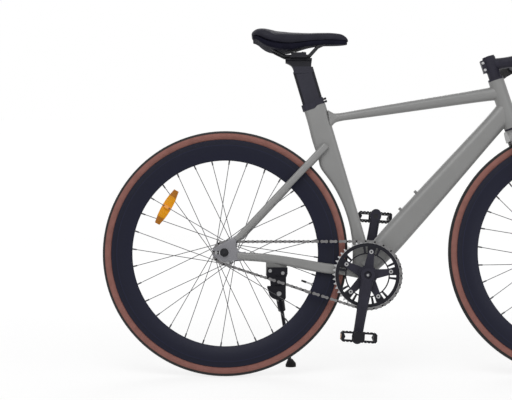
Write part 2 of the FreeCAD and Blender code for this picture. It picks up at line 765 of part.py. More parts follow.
def tyre_solid():
    """Open tyre carcass with its beads behind the rim hooks."""
    half = TYRE_WIDTH / 2
    centre = TYRE_RADIUS - half
    foot = RIM_EDGE_RADIUS + 0.4
    bead = RIM_EDGE_RADIUS - 5.0
    hook = RIM_WIDTH / 2 - RIM_WALL - 0.1
    inner = half - TYRE_WALL
    side_r = foot + (centre - foot) * 0.42
    steps = [
        ((side_r, hook + (half - hook) * 0.64), (centre, half)),
        ((TYRE_RADIUS, 0.0), (centre, -half)),
        ((side_r, -hook - (half - hook) * 0.64), (foot, -hook)),
        (bead, -hook), (bead, -hook + 3.2), (foot, -hook + 2.6),
        ((side_r, -hook + 2.6 - (inner - hook + 2.6) * 0.64), (centre, -inner)),
        ((TYRE_RADIUS - TYRE_WALL, 0.0), (centre, inner)),
        ((side_r, hook - 2.6 + (inner - hook + 2.6) * 0.64), (foot, hook - 2.6)),
        (bead, hook - 3.2), (bead, hook), (foot, hook)]
    return positive(turned((foot, hook), steps))


def inner_tube_solid():
    """Inflated inner tube with its long valve."""
    half = TYRE_WIDTH / 2 - TYRE_WALL - 1.8
    centre = TYRE_RADIUS - TYRE_WIDTH / 2 - 0.2
    ring = Part.makeTorus(centre, half, ORIGIN, LEFT).cut(Part.makeTorus(centre, half - 1.0, ORIGIN, LEFT))
    apex = RIM_EDGE_RADIUS - RIM_DEPTH
    start = polar(centre - half + 0.5, VALVE_ANGLE)
    stem_end = polar(apex - VALVE_LENGTH + VALVE_CAP_LENGTH, VALVE_ANGLE)
    tip = polar(apex - VALVE_LENGTH, VALVE_ANGLE)
    nut = rod(polar(apex, VALVE_ANGLE), polar(apex - 3.0, VALVE_ANGLE), 4.6)
    cap = Part.makeCone(3.4, 2.6, VALVE_CAP_LENGTH, stem_end, tip - stem_end)
    return fused([ring, rod(start, stem_end, 2.4), cap, nut])


def spoke_ends(k, flange):
    """Hub end, rim end, flange hole and outward direction of spoke k."""
    side = -1.0 if k % 2 == 0 else 1.0
    lead = 1.0 if k % 4 in (2, 3) else -1.0
    rim_angle = SPOKE_PHASE + 360.0 * k / SPOKE_COUNT
    hub_angle = rim_angle + lead * SPOKE_LEAD
    out = lead * side
    offset = FLANGE_THICKNESS / 2 + SPOKE_RADIUS + 0.6
    hub_end = polar(FLANGE_HOLE_RADIUS, hub_angle, side * flange + out * offset)
    far_side = polar(FLANGE_HOLE_RADIUS, hub_angle, side * flange - out * (FLANGE_THICKNESS / 2 + 0.25))
    apex = RIM_EDGE_RADIUS - RIM_DEPTH
    rim_end = polar(apex + 7.0, rim_angle, side * 1.4)
    return hub_end, rim_end, far_side


def spoke_solid(k, flange):
    """One spoke with its elbow, its head behind the flange and its nipple at the rim."""
    hub_end, rim_end, far_side = spoke_ends(k, flange)
    along = rim_end - hub_end
    along.normalize()
    outward = far_side - hub_end
    outward.normalize()
    wire = rod(hub_end, rim_end, SPOKE_RADIUS)
    elbow = Part.makeSphere(SPOKE_RADIUS, hub_end)
    neck = rod(hub_end, far_side, SPOKE_RADIUS)
    head = rod(far_side - outward * 0.2, far_side + outward * 0.9, 1.8)
    nipple = rod(rim_end - along * (NIPPLE_LENGTH + 7.0), rim_end - along * 1.0, NIPPLE_RADIUS)
    return fused([wire, elbow, neck, head, nipple])


def rim_solid(flange):
    """Rim drilled for the nipples and the valve."""
    outer, chamber = rim_profile()
    tools = []
    for k in range(SPOKE_COUNT):
        hub_end, rim_end, _ = spoke_ends(k, flange)
        along = rim_end - hub_end
        along.normalize()
        tools.append(rod(rim_end - along * 16.0, rim_end, NIPPLE_RADIUS + 0.15))
    apex = RIM_EDGE_RADIUS - RIM_DEPTH
    tools.append(rod(polar(apex - 5, VALVE_ANGLE), polar(RIM_EDGE_RADIUS, VALVE_ANGLE), 3.1))
    return outer.cut(chamber).cut(tools)


def hub_shell(flange, half_width, threaded):
    """Hub barrel with two spoke flanges; a threaded end carries the cog."""
    h = FLANGE_THICKNESS / 2
    neck = COG_THREAD_RADIUS if threaded else HUB_BARREL_RADIUS + 2.0
    lock = neck - 1.6
    thread_end = CHAIN_LINE + 1.6 if threaded else half_width - 2.0
    bore = 7.0
    pocket = half_width - BEARING_WIDTH
    outline = [
        (BEARING_RADIUS, half_width), (lock, half_width), (lock, thread_end), (neck, thread_end),
        (neck, flange + h), (FLANGE_HOLE_RADIUS + 1.2, flange + h), (FLANGE_RADIUS, flange + h - 1.3),
        (FLANGE_RADIUS, flange - h),
        (FLANGE_HOLE_RADIUS - 4.5, flange - h), (HUB_BARREL_RADIUS + 2.5, flange - h - 4.0),
        (HUB_BARREL_RADIUS, flange - h - 12.0)]
    lower = [(r, -y) for r, y in reversed(outline)]
    inside = [(BEARING_RADIUS, -pocket), (bore, -pocket), (bore, pocket), (BEARING_RADIUS, pocket)]
    points = outline + lower + inside
    body = positive(turned(points[0], points[1:] + [points[0]]))
    holes = []
    for k in range(SPOKE_COUNT):
        hub_end, _, far_side = spoke_ends(k, flange)
        holes.append(rod(hub_end, far_side, SPOKE_RADIUS + 0.25))
    return body.cut(holes)


def hub_bearings(half_width, axle_radius):
    """Two cartridge bearings in the hub ends."""
    rings = []
    for side in (-1.0, 1.0):
        ring = y_disc(BEARING_RADIUS, side * (half_width - BEARING_WIDTH), side * half_width)
        rings.append(ring.cut(y_disc(axle_radius + RUNNING_CLEARANCE, -half_width - 5, half_width + 5)))
    return rings


def reflector_solid(flange):
    """Spoke reflector clipped square across one spoke."""
    hub_end, rim_end, _ = spoke_ends(REFLECTOR_SPOKE, flange)
    along = rim_end - hub_end
    along.normalize()
    t = REFLECTOR_RADIUS - FLANGE_HOLE_RADIUS + 14.0
    on_spoke = hub_end + along * t
    flat = Vector(along.x, 0, along.z)
    flat.normalize()
    across = flat.cross(LEFT)
    half_l = REFLECTOR_LENGTH / 2
    half_h = REFLECTOR_HEIGHT / 2
    cap = half_h - 4.0
    base = Vector(on_spoke.x, -REFLECTOR_THICKNESS / 2, on_spoke.z)
    start = (-half_l + 6.0, -half_h)
    wire = closed_wire(
        start,
        [(half_l - 6.0, -half_h), (half_l, -cap), (half_l, cap), (half_l - 6.0, half_h),
         (-half_l + 6.0, half_h), (-half_l, cap), (-half_l, -cap), start],
        lambda u, v: base + across * u + flat * v)
    body = positive(Part.Face(wire).extrude(LEFT * REFLECTOR_THICKNESS))
    middle = Vector(on_spoke.x, 0, on_spoke.z)
    clip = frame_box(
        middle, (across, LEFT, flat), ((-5.0, 5.0), (on_spoke.y - 2.6, 0.0), (-9.0, 9.0)))
    channel = rod(hub_end, rim_end, SPOKE_RADIUS + 0.02)
    return body.fuse(positive(clip)).removeSplitter().cut(channel)


def wheel_nodes(prefix, centre, flange, hub_end, threaded, axle_radius, turn):
    """All the turning pieces of one wheel."""
    pieces = {
        "tyre": [tyre_solid()],
        "inner_tube": [inner_tube_solid()],
        "rim": [rim_solid(flange)],
        "spokes": [spoke_solid(k, flange) for k in range(SPOKE_COUNT)],
        "hub": [hub_shell(flange, hub_end, threaded)] + hub_bearings(hub_end, axle_radius),
        "reflector": [reflector_solid(flange)],
    }
    nodes = {}
    for name, solids in pieces.items():
        placed = [moved(turned_about_y(solid, turn), centre) for solid in solids]
        nodes[prefix + "_" + name] = placed
    return nodes


# Sprockets and chain


def sprocket_face(teeth, phase):
    """Toothed outline with roller seats centred at the phase plus a half pitch."""
    radius = pitch_radius(teeth)
    tip = radius + TOOTH_HEIGHT
    half_tip = math.degrees(0.9 / tip)
    flank = math.radians(70.0)
    edges = []
    points = []
    for i in range(teeth):
        angle = phase + (i + 0.5) * 360.0 / teeth
        out = polar(1.0, angle)
        turn = polar(1.0, angle + 90.0)
        centre = out * radius
        low = centre - out * (SEAT_RADIUS * math.cos(flank)) - turn * (SEAT_RADIUS * math.sin(flank))
        high = centre - out * (SEAT_RADIUS * math.cos(flank)) + turn * (SEAT_RADIUS * math.sin(flank))
        next_tooth = angle + 180.0 / teeth
        points.append((low, centre - out * SEAT_RADIUS, high,
                       polar(tip, next_tooth - half_tip), polar(tip, next_tooth + half_tip)))
    for i, (low, seat, high, tip_in, tip_out) in enumerate(points):
        following = points[(i + 1) % teeth][0]
        edges.append(Part.Arc(low, seat, high).toShape())
        edges.append(Part.makeLine(high, tip_in))
        edges.append(Part.makeLine(tip_in, tip_out))
        edges.append(Part.makeLine(tip_out, following))
    return Part.Face(Part.Wire(edges))


def toothed_disc(teeth, phase):
    """Sprocket blank about the chain line, with its teeth thinned towards the tips."""
    half = TOOTH_THICKNESS / 2
    radius = pitch_radius(teeth)
    tip = radius + TOOTH_HEIGHT + 0.5
    blank = positive(moved(sprocket_face(teeth, phase), LEFT * -half).extrude(LEFT * TOOTH_THICKNESS))
    bevel = radius - 1.0
    lens = turned((0.0, -half), [(bevel, -half), (tip, -0.7), (tip, 0.7), (bevel, half), (0.0, half),
                                 (0.0, -half)])
    return moved(blank.common(positive(lens)), LEFT * -CHAIN_LINE)


def ring_sector(inner, outer, start, end):
    """Window between two radii and two angles, through the chainring."""
    y = -CHAIN_LINE - 10.0
    middle = (start + end) / 2
    wire = Part.Wire([
        Part.makeLine(polar(inner, start, y), polar(outer, start, y)),
        Part.Arc(polar(outer, start, y), polar(outer, middle, y), polar(outer, end, y)).toShape(),
        Part.makeLine(polar(outer, end, y), polar(inner, end, y)),
        Part.Arc(polar(inner, end, y), polar(inner, middle, y), polar(inner, start, y)).toShape()])
    return positive(Part.Face(wire).extrude(LEFT * 20.0))


def chainring_solid():
    """Chainring with slots and long windows between a thin inner ring and the toothed band."""
    ring = toothed_disc(RING_TEETH, DRIVE_ANGLE)
    tools = [y_disc(RING_INNER_RADIUS, -CHAIN_LINE - 10, -CHAIN_LINE + 10)]
    for i in range(SPIDER_ARMS):
        arm = BOLT_PHASE + 360.0 * i / SPIDER_ARMS
        tools.append(ring_sector(RING_WINDOW_INNER, RING_WINDOW_OUTER, arm + 18.0, arm + 54.0))
        tools.append(ring_sector(RING_WINDOW_INNER, RING_WINDOW_OUTER, arm + 8.5, arm + 13.0))
        tools.append(ring_sector(RING_WINDOW_INNER, RING_WINDOW_OUTER, arm - 13.0, arm - 8.5))
        centre = polar(BOLT_CIRCLE_RADIUS, arm)
        tools.append(y_disc(4.9, -CHAIN_LINE - 10, -CHAIN_LINE + 10, centre))
    pads = [y_disc(9.0, -CHAIN_LINE - 1.45, -CHAIN_LINE + 1.45,
                   polar(BOLT_CIRCLE_RADIUS, BOLT_PHASE + 72.0 * i)) for i in range(SPIDER_ARMS)]
    body = ring.cut(tools[:1])
    body = body.multiFuse(pads).removeSplitter().cut(tools[1:])
    return moved(body, BB)


def cog_nodes():
    """Cog screwed on the hub, and the lockring behind it."""
    cog = toothed_disc(COG_TEETH, 180.0 + DRIVE_ANGLE)
    cog = cog.cut(y_disc(COG_THREAD_RADIUS, -CHAIN_LINE - 10, -CHAIN_LINE + 10))
    start = -CHAIN_LINE - 1.6
    ring = y_disc(20.5, start - 4.5, start).cut(y_disc(COG_THREAD_RADIUS - 1.6, start - 5, start + 1))
    notches = [y_disc(3.0, start - 5, start + 1, polar(21.5, 60.0 * i)) for i in range(6)]
    return {
        "rear_cog": [moved(cog, REAR_AXLE)],
        "cog_lockring": [moved(ring.cut(notches), REAR_AXLE)],
    }


def roller_points():
    """Roller centres round the closed chain, in order, in the chain plane."""
    points = []
    step = 360.0 / RING_TEETH
    for i in range(RING_WRAP_LINKS + 1):
        points.append(BB + polar(RING_RADIUS, DRIVE_ANGLE + RING_HALF_WRAP - i * step))
    step = 360.0 / COG_TEETH
    back = DRIVE_ANGLE + 180.0
    cog = []
    for i in range(COG_WRAP_LINKS + 1):
        cog.append(REAR_AXLE + polar(COG_RADIUS, back + COG_HALF_WRAP - i * step))
    low = [lerp(points[-1], cog[0], i / SPAN_LINKS) for i in range(1, SPAN_LINKS)]
    high = [lerp(cog[-1], points[0], i / SPAN_LINKS) for i in range(1, SPAN_LINKS)]
    return points + low + cog + high


def link_plate(height, waist, y0, y1):
    """Waisted chain plate between two pin centres."""
    r = height / 2
    p = CHAIN_PITCH
    c = r * math.cos(math.radians(55.0))
    s = r * math.sin(math.radians(55.0))
    return positive(side_plate(
        (c, s),
        [((p / 2, waist / 2), (p - c, s)), ((p + r, 0.0), (p - c, -s)), ((p / 2, -waist / 2), (c, -s)),
         ((-r, 0.0), (c, s))], y0, y1))


def outer_link():
    """Two outer plates joined by their pins."""
    inner = INNER_GAP / 2 + PLATE_THICKNESS + 0.1
    outer = inner + PLATE_THICKNESS
    plates = [link_plate(PLATE_HEIGHT, 6.0, side * inner, side * outer) for side in (-1.0, 1.0)]
    pins = [y_disc(PIN_RADIUS, -outer - 0.4, outer + 0.4, Vector(x, 0, 0)) for x in (0.0, CHAIN_PITCH)]
    return fused(plates + pins)


def inner_link():
    """Two inner plates joined by their rollers, bored for the pins."""
    inner = INNER_GAP / 2
    outer = inner + PLATE_THICKNESS
    plates = [link_plate(PLATE_HEIGHT, 5.4, side * inner, side * outer) for side in (-1.0, 1.0)]
    rollers = [y_disc(ROLLER_RADIUS, -inner, inner, Vector(x, 0, 0)) for x in (0.0, CHAIN_PITCH)]
    bores = [y_disc(PIN_RADIUS + RUNNING_CLEARANCE, -outer - 1, outer + 1, Vector(x, 0, 0))
             for x in (0.0, CHAIN_PITCH)]
    return fused(plates + rollers).cut(bores)


def chain_nodes():
    """Every link of the chain, laid round the chainring and the cog."""
    points = roller_points()
    templates = [outer_link(), inner_link()]
    links = [[], []]
    for i, here in enumerate(points):
        there = points[(i + 1) % len(points)]
        angle = math.degrees(math.atan2(there.z - here.z, there.x - here.x))
        link = turned_about_y(templates[i % 2], angle)
        links[i % 2].append(moved(link, here + LEFT * -CHAIN_LINE))
    return {"chain_outer_links": links[0], "chain_inner_links": links[1]}


# Cranks and pedals


def spindle_taper(side, start, end):
    """Square end of the spindle."""
    wires = []
    for y, half in ((start, 6.4), (end, 5.9)):
        wires.append(Part.makePolygon([
            Vector(x * half, side * y, z * half)
            for x, z in ((-1, -1), (1, -1), (1, 1), (-1, 1), (-1, -1))]))
    return positive(Part.makeLoft(wires, True, True))


def spindle_solid():
    """Bottom bracket spindle."""
    body = y_disc(SPINDLE_RADIUS, -43.0, 43.0)
    return fused([body, spindle_taper(-1.0, 42.0, 63.0), spindle_taper(1.0, 42.0, 63.0)])


def crank_arm(side, angle):
    """Forged arm from the spindle to the pedal eye."""
    along = polar(1.0, angle)
    across = polar(1.0, angle + 90.0)
    wires = []
    for r, width, thick in ((-6.0, 37.0, 20.0), (30.0, 34.5, 17.5), (75.0, 30.5, 14.0),
                            (125.0, 27.5, 13.0), (CRANK_LENGTH, 27.0, 13.0)):
        centre = along * r + LEFT * (side * (CRANK_FACE - thick / 2))
        half = width / 2
        radius = thick / 2 - 0.1
        wires.append(hull_wire(centre, across, LEFT, half, -half, radius, radius))
    eye = y_disc(15.6, side * (CRANK_FACE - 13.2), side * CRANK_FACE, along * CRANK_LENGTH)
    boss = y_disc(19.5, side * 44.5, side * (CRANK_FACE + 0.4))
    return fused([loft(wires), eye, boss])


def crank_holes(side, angle):
    """Spindle seat, bolt recess and pedal thread of a crank arm."""
    eye = polar(CRANK_LENGTH, angle)
    return [
        spindle_taper(side, 42.0, 63.0),
        y_disc(4.1, side * 60.0, side * 70.0),
        y_disc(10.4, side * 66.5, side * 80.0),
        y_disc(7.0, side * 50.0, side * 80.0, eye)]


def spider_arm(i):
    """One tapered arm of the spider out to its chainring bolt."""
    tip = polar(BOLT_CIRCLE_RADIUS, BOLT_PHASE + 72.0 * i)
    root = polar(14.0, BOLT_PHASE + 72.0 * i)
    y1 = -CHAIN_LINE - 1.45
    return hull_plate(root, tip, 14.0, 8.0, y1 - 5.6, y1)


def crank_nodes():
    """Spindle, both crank arms, chainring and their bolts."""
    arms = [spider_arm(i) for i in range(SPIDER_ARMS)]
    hub = y_disc(27.0, -CHAIN_LINE - 2.5, -CHAIN_LINE - 13.0)
    right = fused([crank_arm(-1.0, CRANK_ANGLE), hub] + arms)
    bolt_holes = [y_disc(4.9, -60.0, -30.0, polar(BOLT_CIRCLE_RADIUS, BOLT_PHASE + 72.0 * i))
                  for i in range(SPIDER_ARMS)]
    right = right.cut(crank_holes(-1.0, CRANK_ANGLE) + bolt_holes)
    left = crank_arm(1.0, CRANK_ANGLE + 180.0).cut(crank_holes(1.0, CRANK_ANGLE + 180.0))
    bolts = []
    for i in range(SPIDER_ARMS):
        centre = polar(BOLT_CIRCLE_RADIUS, BOLT_PHASE + 72.0 * i)
        face = -CHAIN_LINE - 1.45
        shank = y_disc(4.9, face - 5.6, face + 2.9, centre)
        head = y_disc(5.6, face - 7.4, face - 5.6, centre)
        nut = y_disc(5.6, face + 2.9, face + 4.3, centre)
        socket = positive(hexagon(centre + LEFT * (face - 7.4), LEFT, 5.0, 5.0))
        bolts.append(fused([shank, head, nut]).cut(socket))
    for side in (-1.0, 1.0):
        head = y_disc(6.6, side * 66.5, side * 71.5)
        socket = positive(hexagon(LEFT * (side * 71.5), LEFT * -side, 7.0, 4.0))
        bolts.append(head.fuse(y_disc(4.1, side * 63.0, side * 66.5)).removeSplitter().cut(socket))
    nodes = {
        "crank_spindle": [spindle_solid()],
        "crank_right": [right],
        "crank_left": [left],
        "crank_bolts": bolts,
        "pedal_axles": [pedal_axle(-1.0), pedal_axle(1.0)],
    }
    nodes = {name: [moved(solid, BB) for solid in solids] for name, solids in nodes.items()}
    nodes["chainring"] = [chainring_solid()]
    return nodes


def pedal_centre(side):
    """Pedal axis in the crank's own frame."""
    return polar(CRANK_LENGTH, CRANK_ANGLE if side < 0 else CRANK_ANGLE + 180.0)


def pedal_axle(side):
    """Axle screwed into the crank eye, on which the pedal turns."""
    centre = pedal_centre(side)
    thread = y_disc(7.0, side * (CRANK_FACE - 13.2), side * CRANK_FACE, centre)
    collar = y_disc(8.6, side * CRANK_FACE, side * (CRANK_FACE + 5.0), centre)
    neck = y_disc(6.2, side * (CRANK_FACE + 5.0), side * (PEDAL_INNER - 0.4), centre)
    shaft = y_disc(PEDAL_AXLE_RADIUS, side * (PEDAL_INNER - 1.0), side * (PEDAL_INNER + 76.0), centre)
    return fused([thread, collar, neck, shaft])


def toothed_edge(half_length, height, count):
    """Gripping edge of a pedal plate, as side-view points from rear to front."""
    points = []
    width = 2.0 * half_length / count
    for i in range(count):
        x = -half_length + i * width
        points += [(x, height), (x + width * 0.55, height), (x + width * 0.7, height - 1.7),
                   (x + width * 0.85, height - 1.7)]
    points.append((half_length, height))
    return points


def pedal_solids(side):
    """Pedal cage with its barrel, and the two reflectors set in its ends."""
    half_l = PEDAL_LENGTH / 2
    half_h = PEDAL_HEIGHT / 2
    top = toothed_edge(half_l - 5.0, half_h, 9)
    bottom = [(x, -z) for x, z in reversed(top)]
    outline = top + [(half_l, half_h - 5.0), (half_l, 5.0 - half_h)] + bottom
    outline += [(-half_l, 5.0 - half_h), (-half_l, half_h - 5.0)]
    near = side * PEDAL_INNER
    far = side * (PEDAL_INNER + PEDAL_WIDTH)
    body = positive(side_plate(outline[0], outline[1:] + [outline[0]], near, far))
    tools = []
    for end in (-1.0, 1.0):
        window = [(41.0, -9.0), (37.0, 0.0), (41.0, 9.0), (14.5, 9.0), (14.5, -9.0)]
        tools.append(positive(side_plate(
            (end * 14.5, -9.0), [(end * x, z) for x, z in window], near, far)))
        tools.append(box(end * 12.5, end * 39.5, near + side * 9.0, far - side * 9.0, -20.0, 20.0))
        tools.append(box(end * (half_l - 3.4), end * (half_l + 5.0), near + side * 20.0, far - side * 20.0,
                         -6.5, 6.5))
    barrel = y_disc(PEDAL_BARREL_RADIUS, near, far)
    middle = box(-12.5, 12.5, near + side * 9.0, far - side * 9.0, -20.0, 20.0)
    body = body.cut(tools).cut(middle).fuse(barrel).removeSplitter()
    bore = y_disc(PEDAL_AXLE_RADIUS + RUNNING_CLEARANCE, near - side * 1.0, near + side * 77.0)
    reflectors = [box(end * (half_l - 3.4), end * half_l, near + side * 20.5, far - side * 20.5, -6.2, 6.2)
                  for end in (-1.0, 1.0)]
    return body.cut(bore), reflectors


def pedal_nodes():
    """Both pedals where the cranks hold them."""
    nodes = {}
    for name, side in (("pedal_right", -1.0), ("pedal_left", 1.0)):
        body, reflectors = pedal_solids(side)
        centre = BB + pedal_centre(side)
        nodes[name] = [moved(turned_about_y(body, -PEDAL_TILT), centre)]
        nodes[name + "_reflectors"] = [
            moved(turned_about_y(piece, -PEDAL_TILT), centre) for piece in reflectors]
    return nodes


# Fork, stem and handlebar


def fork_blade_station(t, ahead, y, half, radius):
    """Section of the left fork blade."""
    return (steer_point(t, ahead, y), HEAD_FORWARD, LEFT, half, -half * 1.1, radius, radius * 0.8)


def fork_nodes():
    """Steerer, crown and two aero blades with slotted ends."""
    old = FRONT_OLD / 2
    stations = [
        fork_blade_station(FORK_LENGTH - 8, 2.0, 29.0, 21.0, 8.6),
        fork_blade_station(FORK_LENGTH - 40, 4.0, 32.0, 21.0, 8.4),
        fork_blade_station(FORK_LENGTH - 140, 14.0, 41.0, 19.0, 7.8),
        fork_blade_station(FORK_LENGTH - 270, 32.0, 50.0, 14.5, 6.6),
        fork_blade_station(20.0, 43.0, 53.2, 11.0, 5.6)]
    blade_filled, blade = tube(stations, stations, STAY_WALL)
    end_plate = hull_plate(
        FRONT_AXLE + HEAD_UP * 42.0 - HEAD_FORWARD * 3.0, FRONT_AXLE, 7.5, 14.0, old, old + 6.0)
    slot = frame_box(
        FRONT_AXLE, (HEAD_FORWARD, LEFT, HEAD_UP),
        ((-FRONT_AXLE_RADIUS - RUNNING_CLEARANCE, FRONT_AXLE_RADIUS + RUNNING_CLEARANCE), (0, 80), (-40, 0)))
    eye = y_disc(FRONT_AXLE_RADIUS + RUNNING_CLEARANCE, 0.0, 80.0, FRONT_AXLE)
    end_plate = end_plate.cut(positive(slot)).cut(eye)
    blade = largest(blade.cut(end_plate))
    across = 39.0
    low = steer_point(FORK_LENGTH - 30.0)
    crown_wire = closed_wire(
        (-across, 0.0),
        [((-across + 4.0, 18.0), (-18.0, 30.0)), (18.0, 30.0), ((across - 4.0, 18.0), (across, 0.0)),
         (-across, 0.0)],
        lambda y, t: low + HEAD_UP * t + LEFT * y - HEAD_FORWARD * 22.5)
    crown = positive(Part.Face(crown_wire).extrude(HEAD_FORWARD * 46.0))
    arch = y_disc(TYRE_RADIUS + 9.0, -20.5, 20.5, FRONT_AXLE)
    steerer = sleeve(
        steer_point(FORK_LENGTH - 14.0), steer_point(STEM_TOP - 2.0), STEERER_RADIUS,
        STEERER_RADIUS - STEERER_WALL)
    seat = rod(steer_point(FORK_LENGTH - 14.0), steer_point(FORK_LENGTH + 10.0), STEERER_RADIUS)
    right_filled = mirrored(blade_filled)
    crown = crown.cut(arch).cut(seat).cut(blade_filled).cut(right_filled)
    return {
        "fork_steerer": [steerer],
        "fork_crown": [largest(crown)],
        "fork_blades": [blade, mirrored(blade), end_plate, mirrored(end_plate)],
    }


def stem_nodes():
    """Spacers, stem, faceplate, bolts and top cap."""
    bore = STEERER_RADIUS
    spacers = []
    for i in range(2):
        low = STACK_BOTTOM + i * SPACER_HEIGHT
        spacers.append(sleeve(steer_point(low), steer_point(low + SPACER_HEIGHT), 17.6, bore))
    clamp = rod(steer_point(STEM_BOTTOM), steer_point(STEM_TOP), 18.4)
    axes = (STEM_AXIS, LEFT, STEM_ACROSS)
    middle = steer_point(STEM_BOTTOM + STEM_HEIGHT / 2)
    wires = [
        hull_wire(middle + STEM_AXIS * 4.0, STEM_ACROSS, LEFT, 17.5, -17.5, 15.0, 15.0),
        hull_wire(middle + STEM_AXIS * 40.0, STEM_ACROSS, LEFT, 15.5, -15.5, 14.0, 14.0),
        hull_wire(middle + STEM_AXIS * (STEM_LENGTH - 8.0), STEM_ACROSS, LEFT, 18.5, -18.5, 15.5, 15.5)]
    barrel = y_disc(20.4, -21.0, 21.0, BAR_CENTRE)
    lug = positive(frame_box(BAR_CENTRE, axes, ((-12.0, 8.5), (-21.0, 21.0), (-25.5, 25.5))))
    rear_lug = positive(frame_box(
        middle, (HEAD_FORWARD, LEFT, HEAD_UP), ((-26.0, -10.0), (-11.0, 11.0), (-18.0, 18.0))))
    block = fused([clamp, loft(wires), barrel, lug, rear_lug])
    slit = positive(frame_box(
        middle, (HEAD_FORWARD, LEFT, HEAD_UP), ((-40.0, 0.0), (-1.0, 1.0), (-30.0, 30.0))))
    bar_bore = y_disc(BAR_CLAMP_RADIUS, -40.0, 40.0, BAR_CENTRE)
    steer_bore = rod(steer_point(STEM_BOTTOM - 5), steer_point(STEM_TOP + 5), bore)
    ahead = positive(frame_box(BAR_CENTRE, axes, ((1.6, 60.0), (-40.0, 40.0), (-60.0, 60.0))))
    gap = positive(frame_box(BAR_CENTRE, axes, ((0.2, 60.0), (-40.0, 40.0), (-60.0, 60.0))))
    bored = block.cut(bar_bore).cut(steer_bore).cut(slit)
    stem = bored.cut(gap)
    faceplate = bored.common(ahead)
    bolts = []
    holes = []
    for y in (-14.5, 14.5):
        for z in (-21.0, 21.0):
            seat = BAR_CENTRE + STEM_AXIS * 8.5 + LEFT * y + STEM_ACROSS * z
            bolts.append(rod(seat, seat + STEM_AXIS * 4.6, 3.9).fuse(
                rod(seat, seat - STEM_AXIS * 17.0, 2.4)).removeSplitter())
            holes.append(rod(seat, seat - STEM_AXIS * 17.0, 2.4))
            holes.append(rod(seat, seat + STEM_AXIS * 5.0, 4.2))
    for t in (-10.0, 10.0):
        centre = middle - HEAD_FORWARD * 21.5 + HEAD_UP * t
        bolts.append(rod(centre - LEFT * 14.6, centre - LEFT * 11.0, 3.9).fuse(
            rod(centre - LEFT * 11.0, centre + LEFT * 9.0, 2.4)).removeSplitter())
        holes.append(rod(centre - LEFT * 11.0, centre + LEFT * 9.0, 2.4))
    cap = rod(steer_point(STEM_TOP), steer_point(STEM_TOP + 4.0), 17.2)
    cap = cap.fuse(rod(steer_point(STEM_TOP + 4.0), steer_point(STEM_TOP + 5.6), 5.0)).removeSplitter()
    return {
        "headset_spacers": spacers + [cap],
        "stem": [largest(stem.cut(holes))],
        "stem_faceplate": [largest(faceplate.cut(holes))],
        "stem_bolts": bolts,
    }


def bar_outline(radius_in, radius_out, end):
    """Left half of the handlebar as a solid, for a centre and an outer radius."""
    sweep = math.radians(BAR_SWEEP)
    bend = BAR_CENTRE + LEFT * BAR_BEND
    direction = Vector(-math.sin(sweep), math.cos(sweep), 0)
    tip = bend + direction * ((end - BAR_BEND) / math.cos(sweep))
    middle = y_disc(radius_in, -1.0, 32.0, BAR_CENTRE)
    cone = Part.makeCone(radius_in, radius_out, BAR_BEND - 39.0, BAR_CENTRE + LEFT * 32.0, LEFT)
    neck = y_disc(radius_out, BAR_BEND - 7.5, BAR_BEND, BAR_CENTRE)
    ball = Part.makeSphere(radius_out, bend)
    return fused([middle, cone, neck, ball, rod(bend, tip, radius_out)])


def grip_solid():
    """Left rubber grip with a closed end and ribs."""
    sweep = math.radians(BAR_SWEEP)
    bend = BAR_CENTRE + LEFT * BAR_BEND
    direction = Vector(-math.sin(sweep), math.cos(sweep), 0)
    tip = bend + direction * ((BAR_HALF_WIDTH - BAR_BEND) / math.cos(sweep))
    start = tip - direction * GRIP_LENGTH
    end = tip + direction * 3.0
    body = rod(start, end, GRIP_RADIUS - 1.0)
    rings = [
        rod(end - direction * 4.0, end, GRIP_RADIUS + 1.2),
        rod(start, start + direction * 5.0, GRIP_RADIUS + 0.6)]
    for i in range(13):
        low = start + direction * (12.0 + i * 8.2)
        rings.append(rod(low, low + direction * 4.6, GRIP_RADIUS))
    return fused([body] + rings).cut(rod(start, tip, BAR_RADIUS))


def bar_nodes():
    """Handlebar and grips."""
    outer = bar_outline(BAR_CLAMP_RADIUS, BAR_RADIUS, BAR_HALF_WIDTH)
    inner = bar_outline(BAR_CLAMP_RADIUS - 2.4, BAR_RADIUS - 2.2, BAR_HALF_WIDTH)
    bar = outer.fuse(mirrored(outer)).removeSplitter().cut(inner.fuse(mirrored(inner)))
    grip = grip_solid()
    return {"handlebar": [bar], "grips": [grip, mirrored(grip)]}


# Seat


SADDLE_BASE = seat_point(POST_TOP, 0.0)


def by_saddle(ahead, up):
    """Side-view point measured from the top of the post's line."""
    return (SADDLE_BASE.x + ahead, SADDLE_BASE.z + up)


def saddle_box(x0, x1, half_width, z0, z1):
    """Box measured from the top of the post's line."""
    return moved(box(x0, x1, -half_width, half_width, z0, z1), SADDLE_BASE)


def seatpost_solid():
    """Aero post with a flat-topped head swept back under the saddle clamp."""
    low = SEAT_TUBE_TOP - POST_INSERTION
    post = loft([post_section(low, 0.0), post_section(POST_TOP - 22.0, 0.0)])
    base = seat_point(POST_TOP - 32.0, 0.0)
    head = positive(side_plate(
        (base.x + POST_FRONT, base.z),
        [(by_saddle(25.8, -13.7), by_saddle(26.2, -4.7)), by_saddle(27.8, 8.5), by_saddle(-44.3, 8.5),
         (by_saddle(-46.6, 7.3), by_saddle(-46.8, 4.3)), by_saddle(-46.6, -3.7),
         (by_saddle(-37.8, -7.2), by_saddle(-30.8, -11.7)),
         (by_saddle(-26.8, -17.7), (base.x + POST_REAR, base.z - 4.0)),
         (base.x + POST_FRONT, base.z)],
        -10.6, 10.6))
    top = saddle_box(-46.8, 27.2, 16.0, 2.8, 8.5)
    return fused([post, head, top])


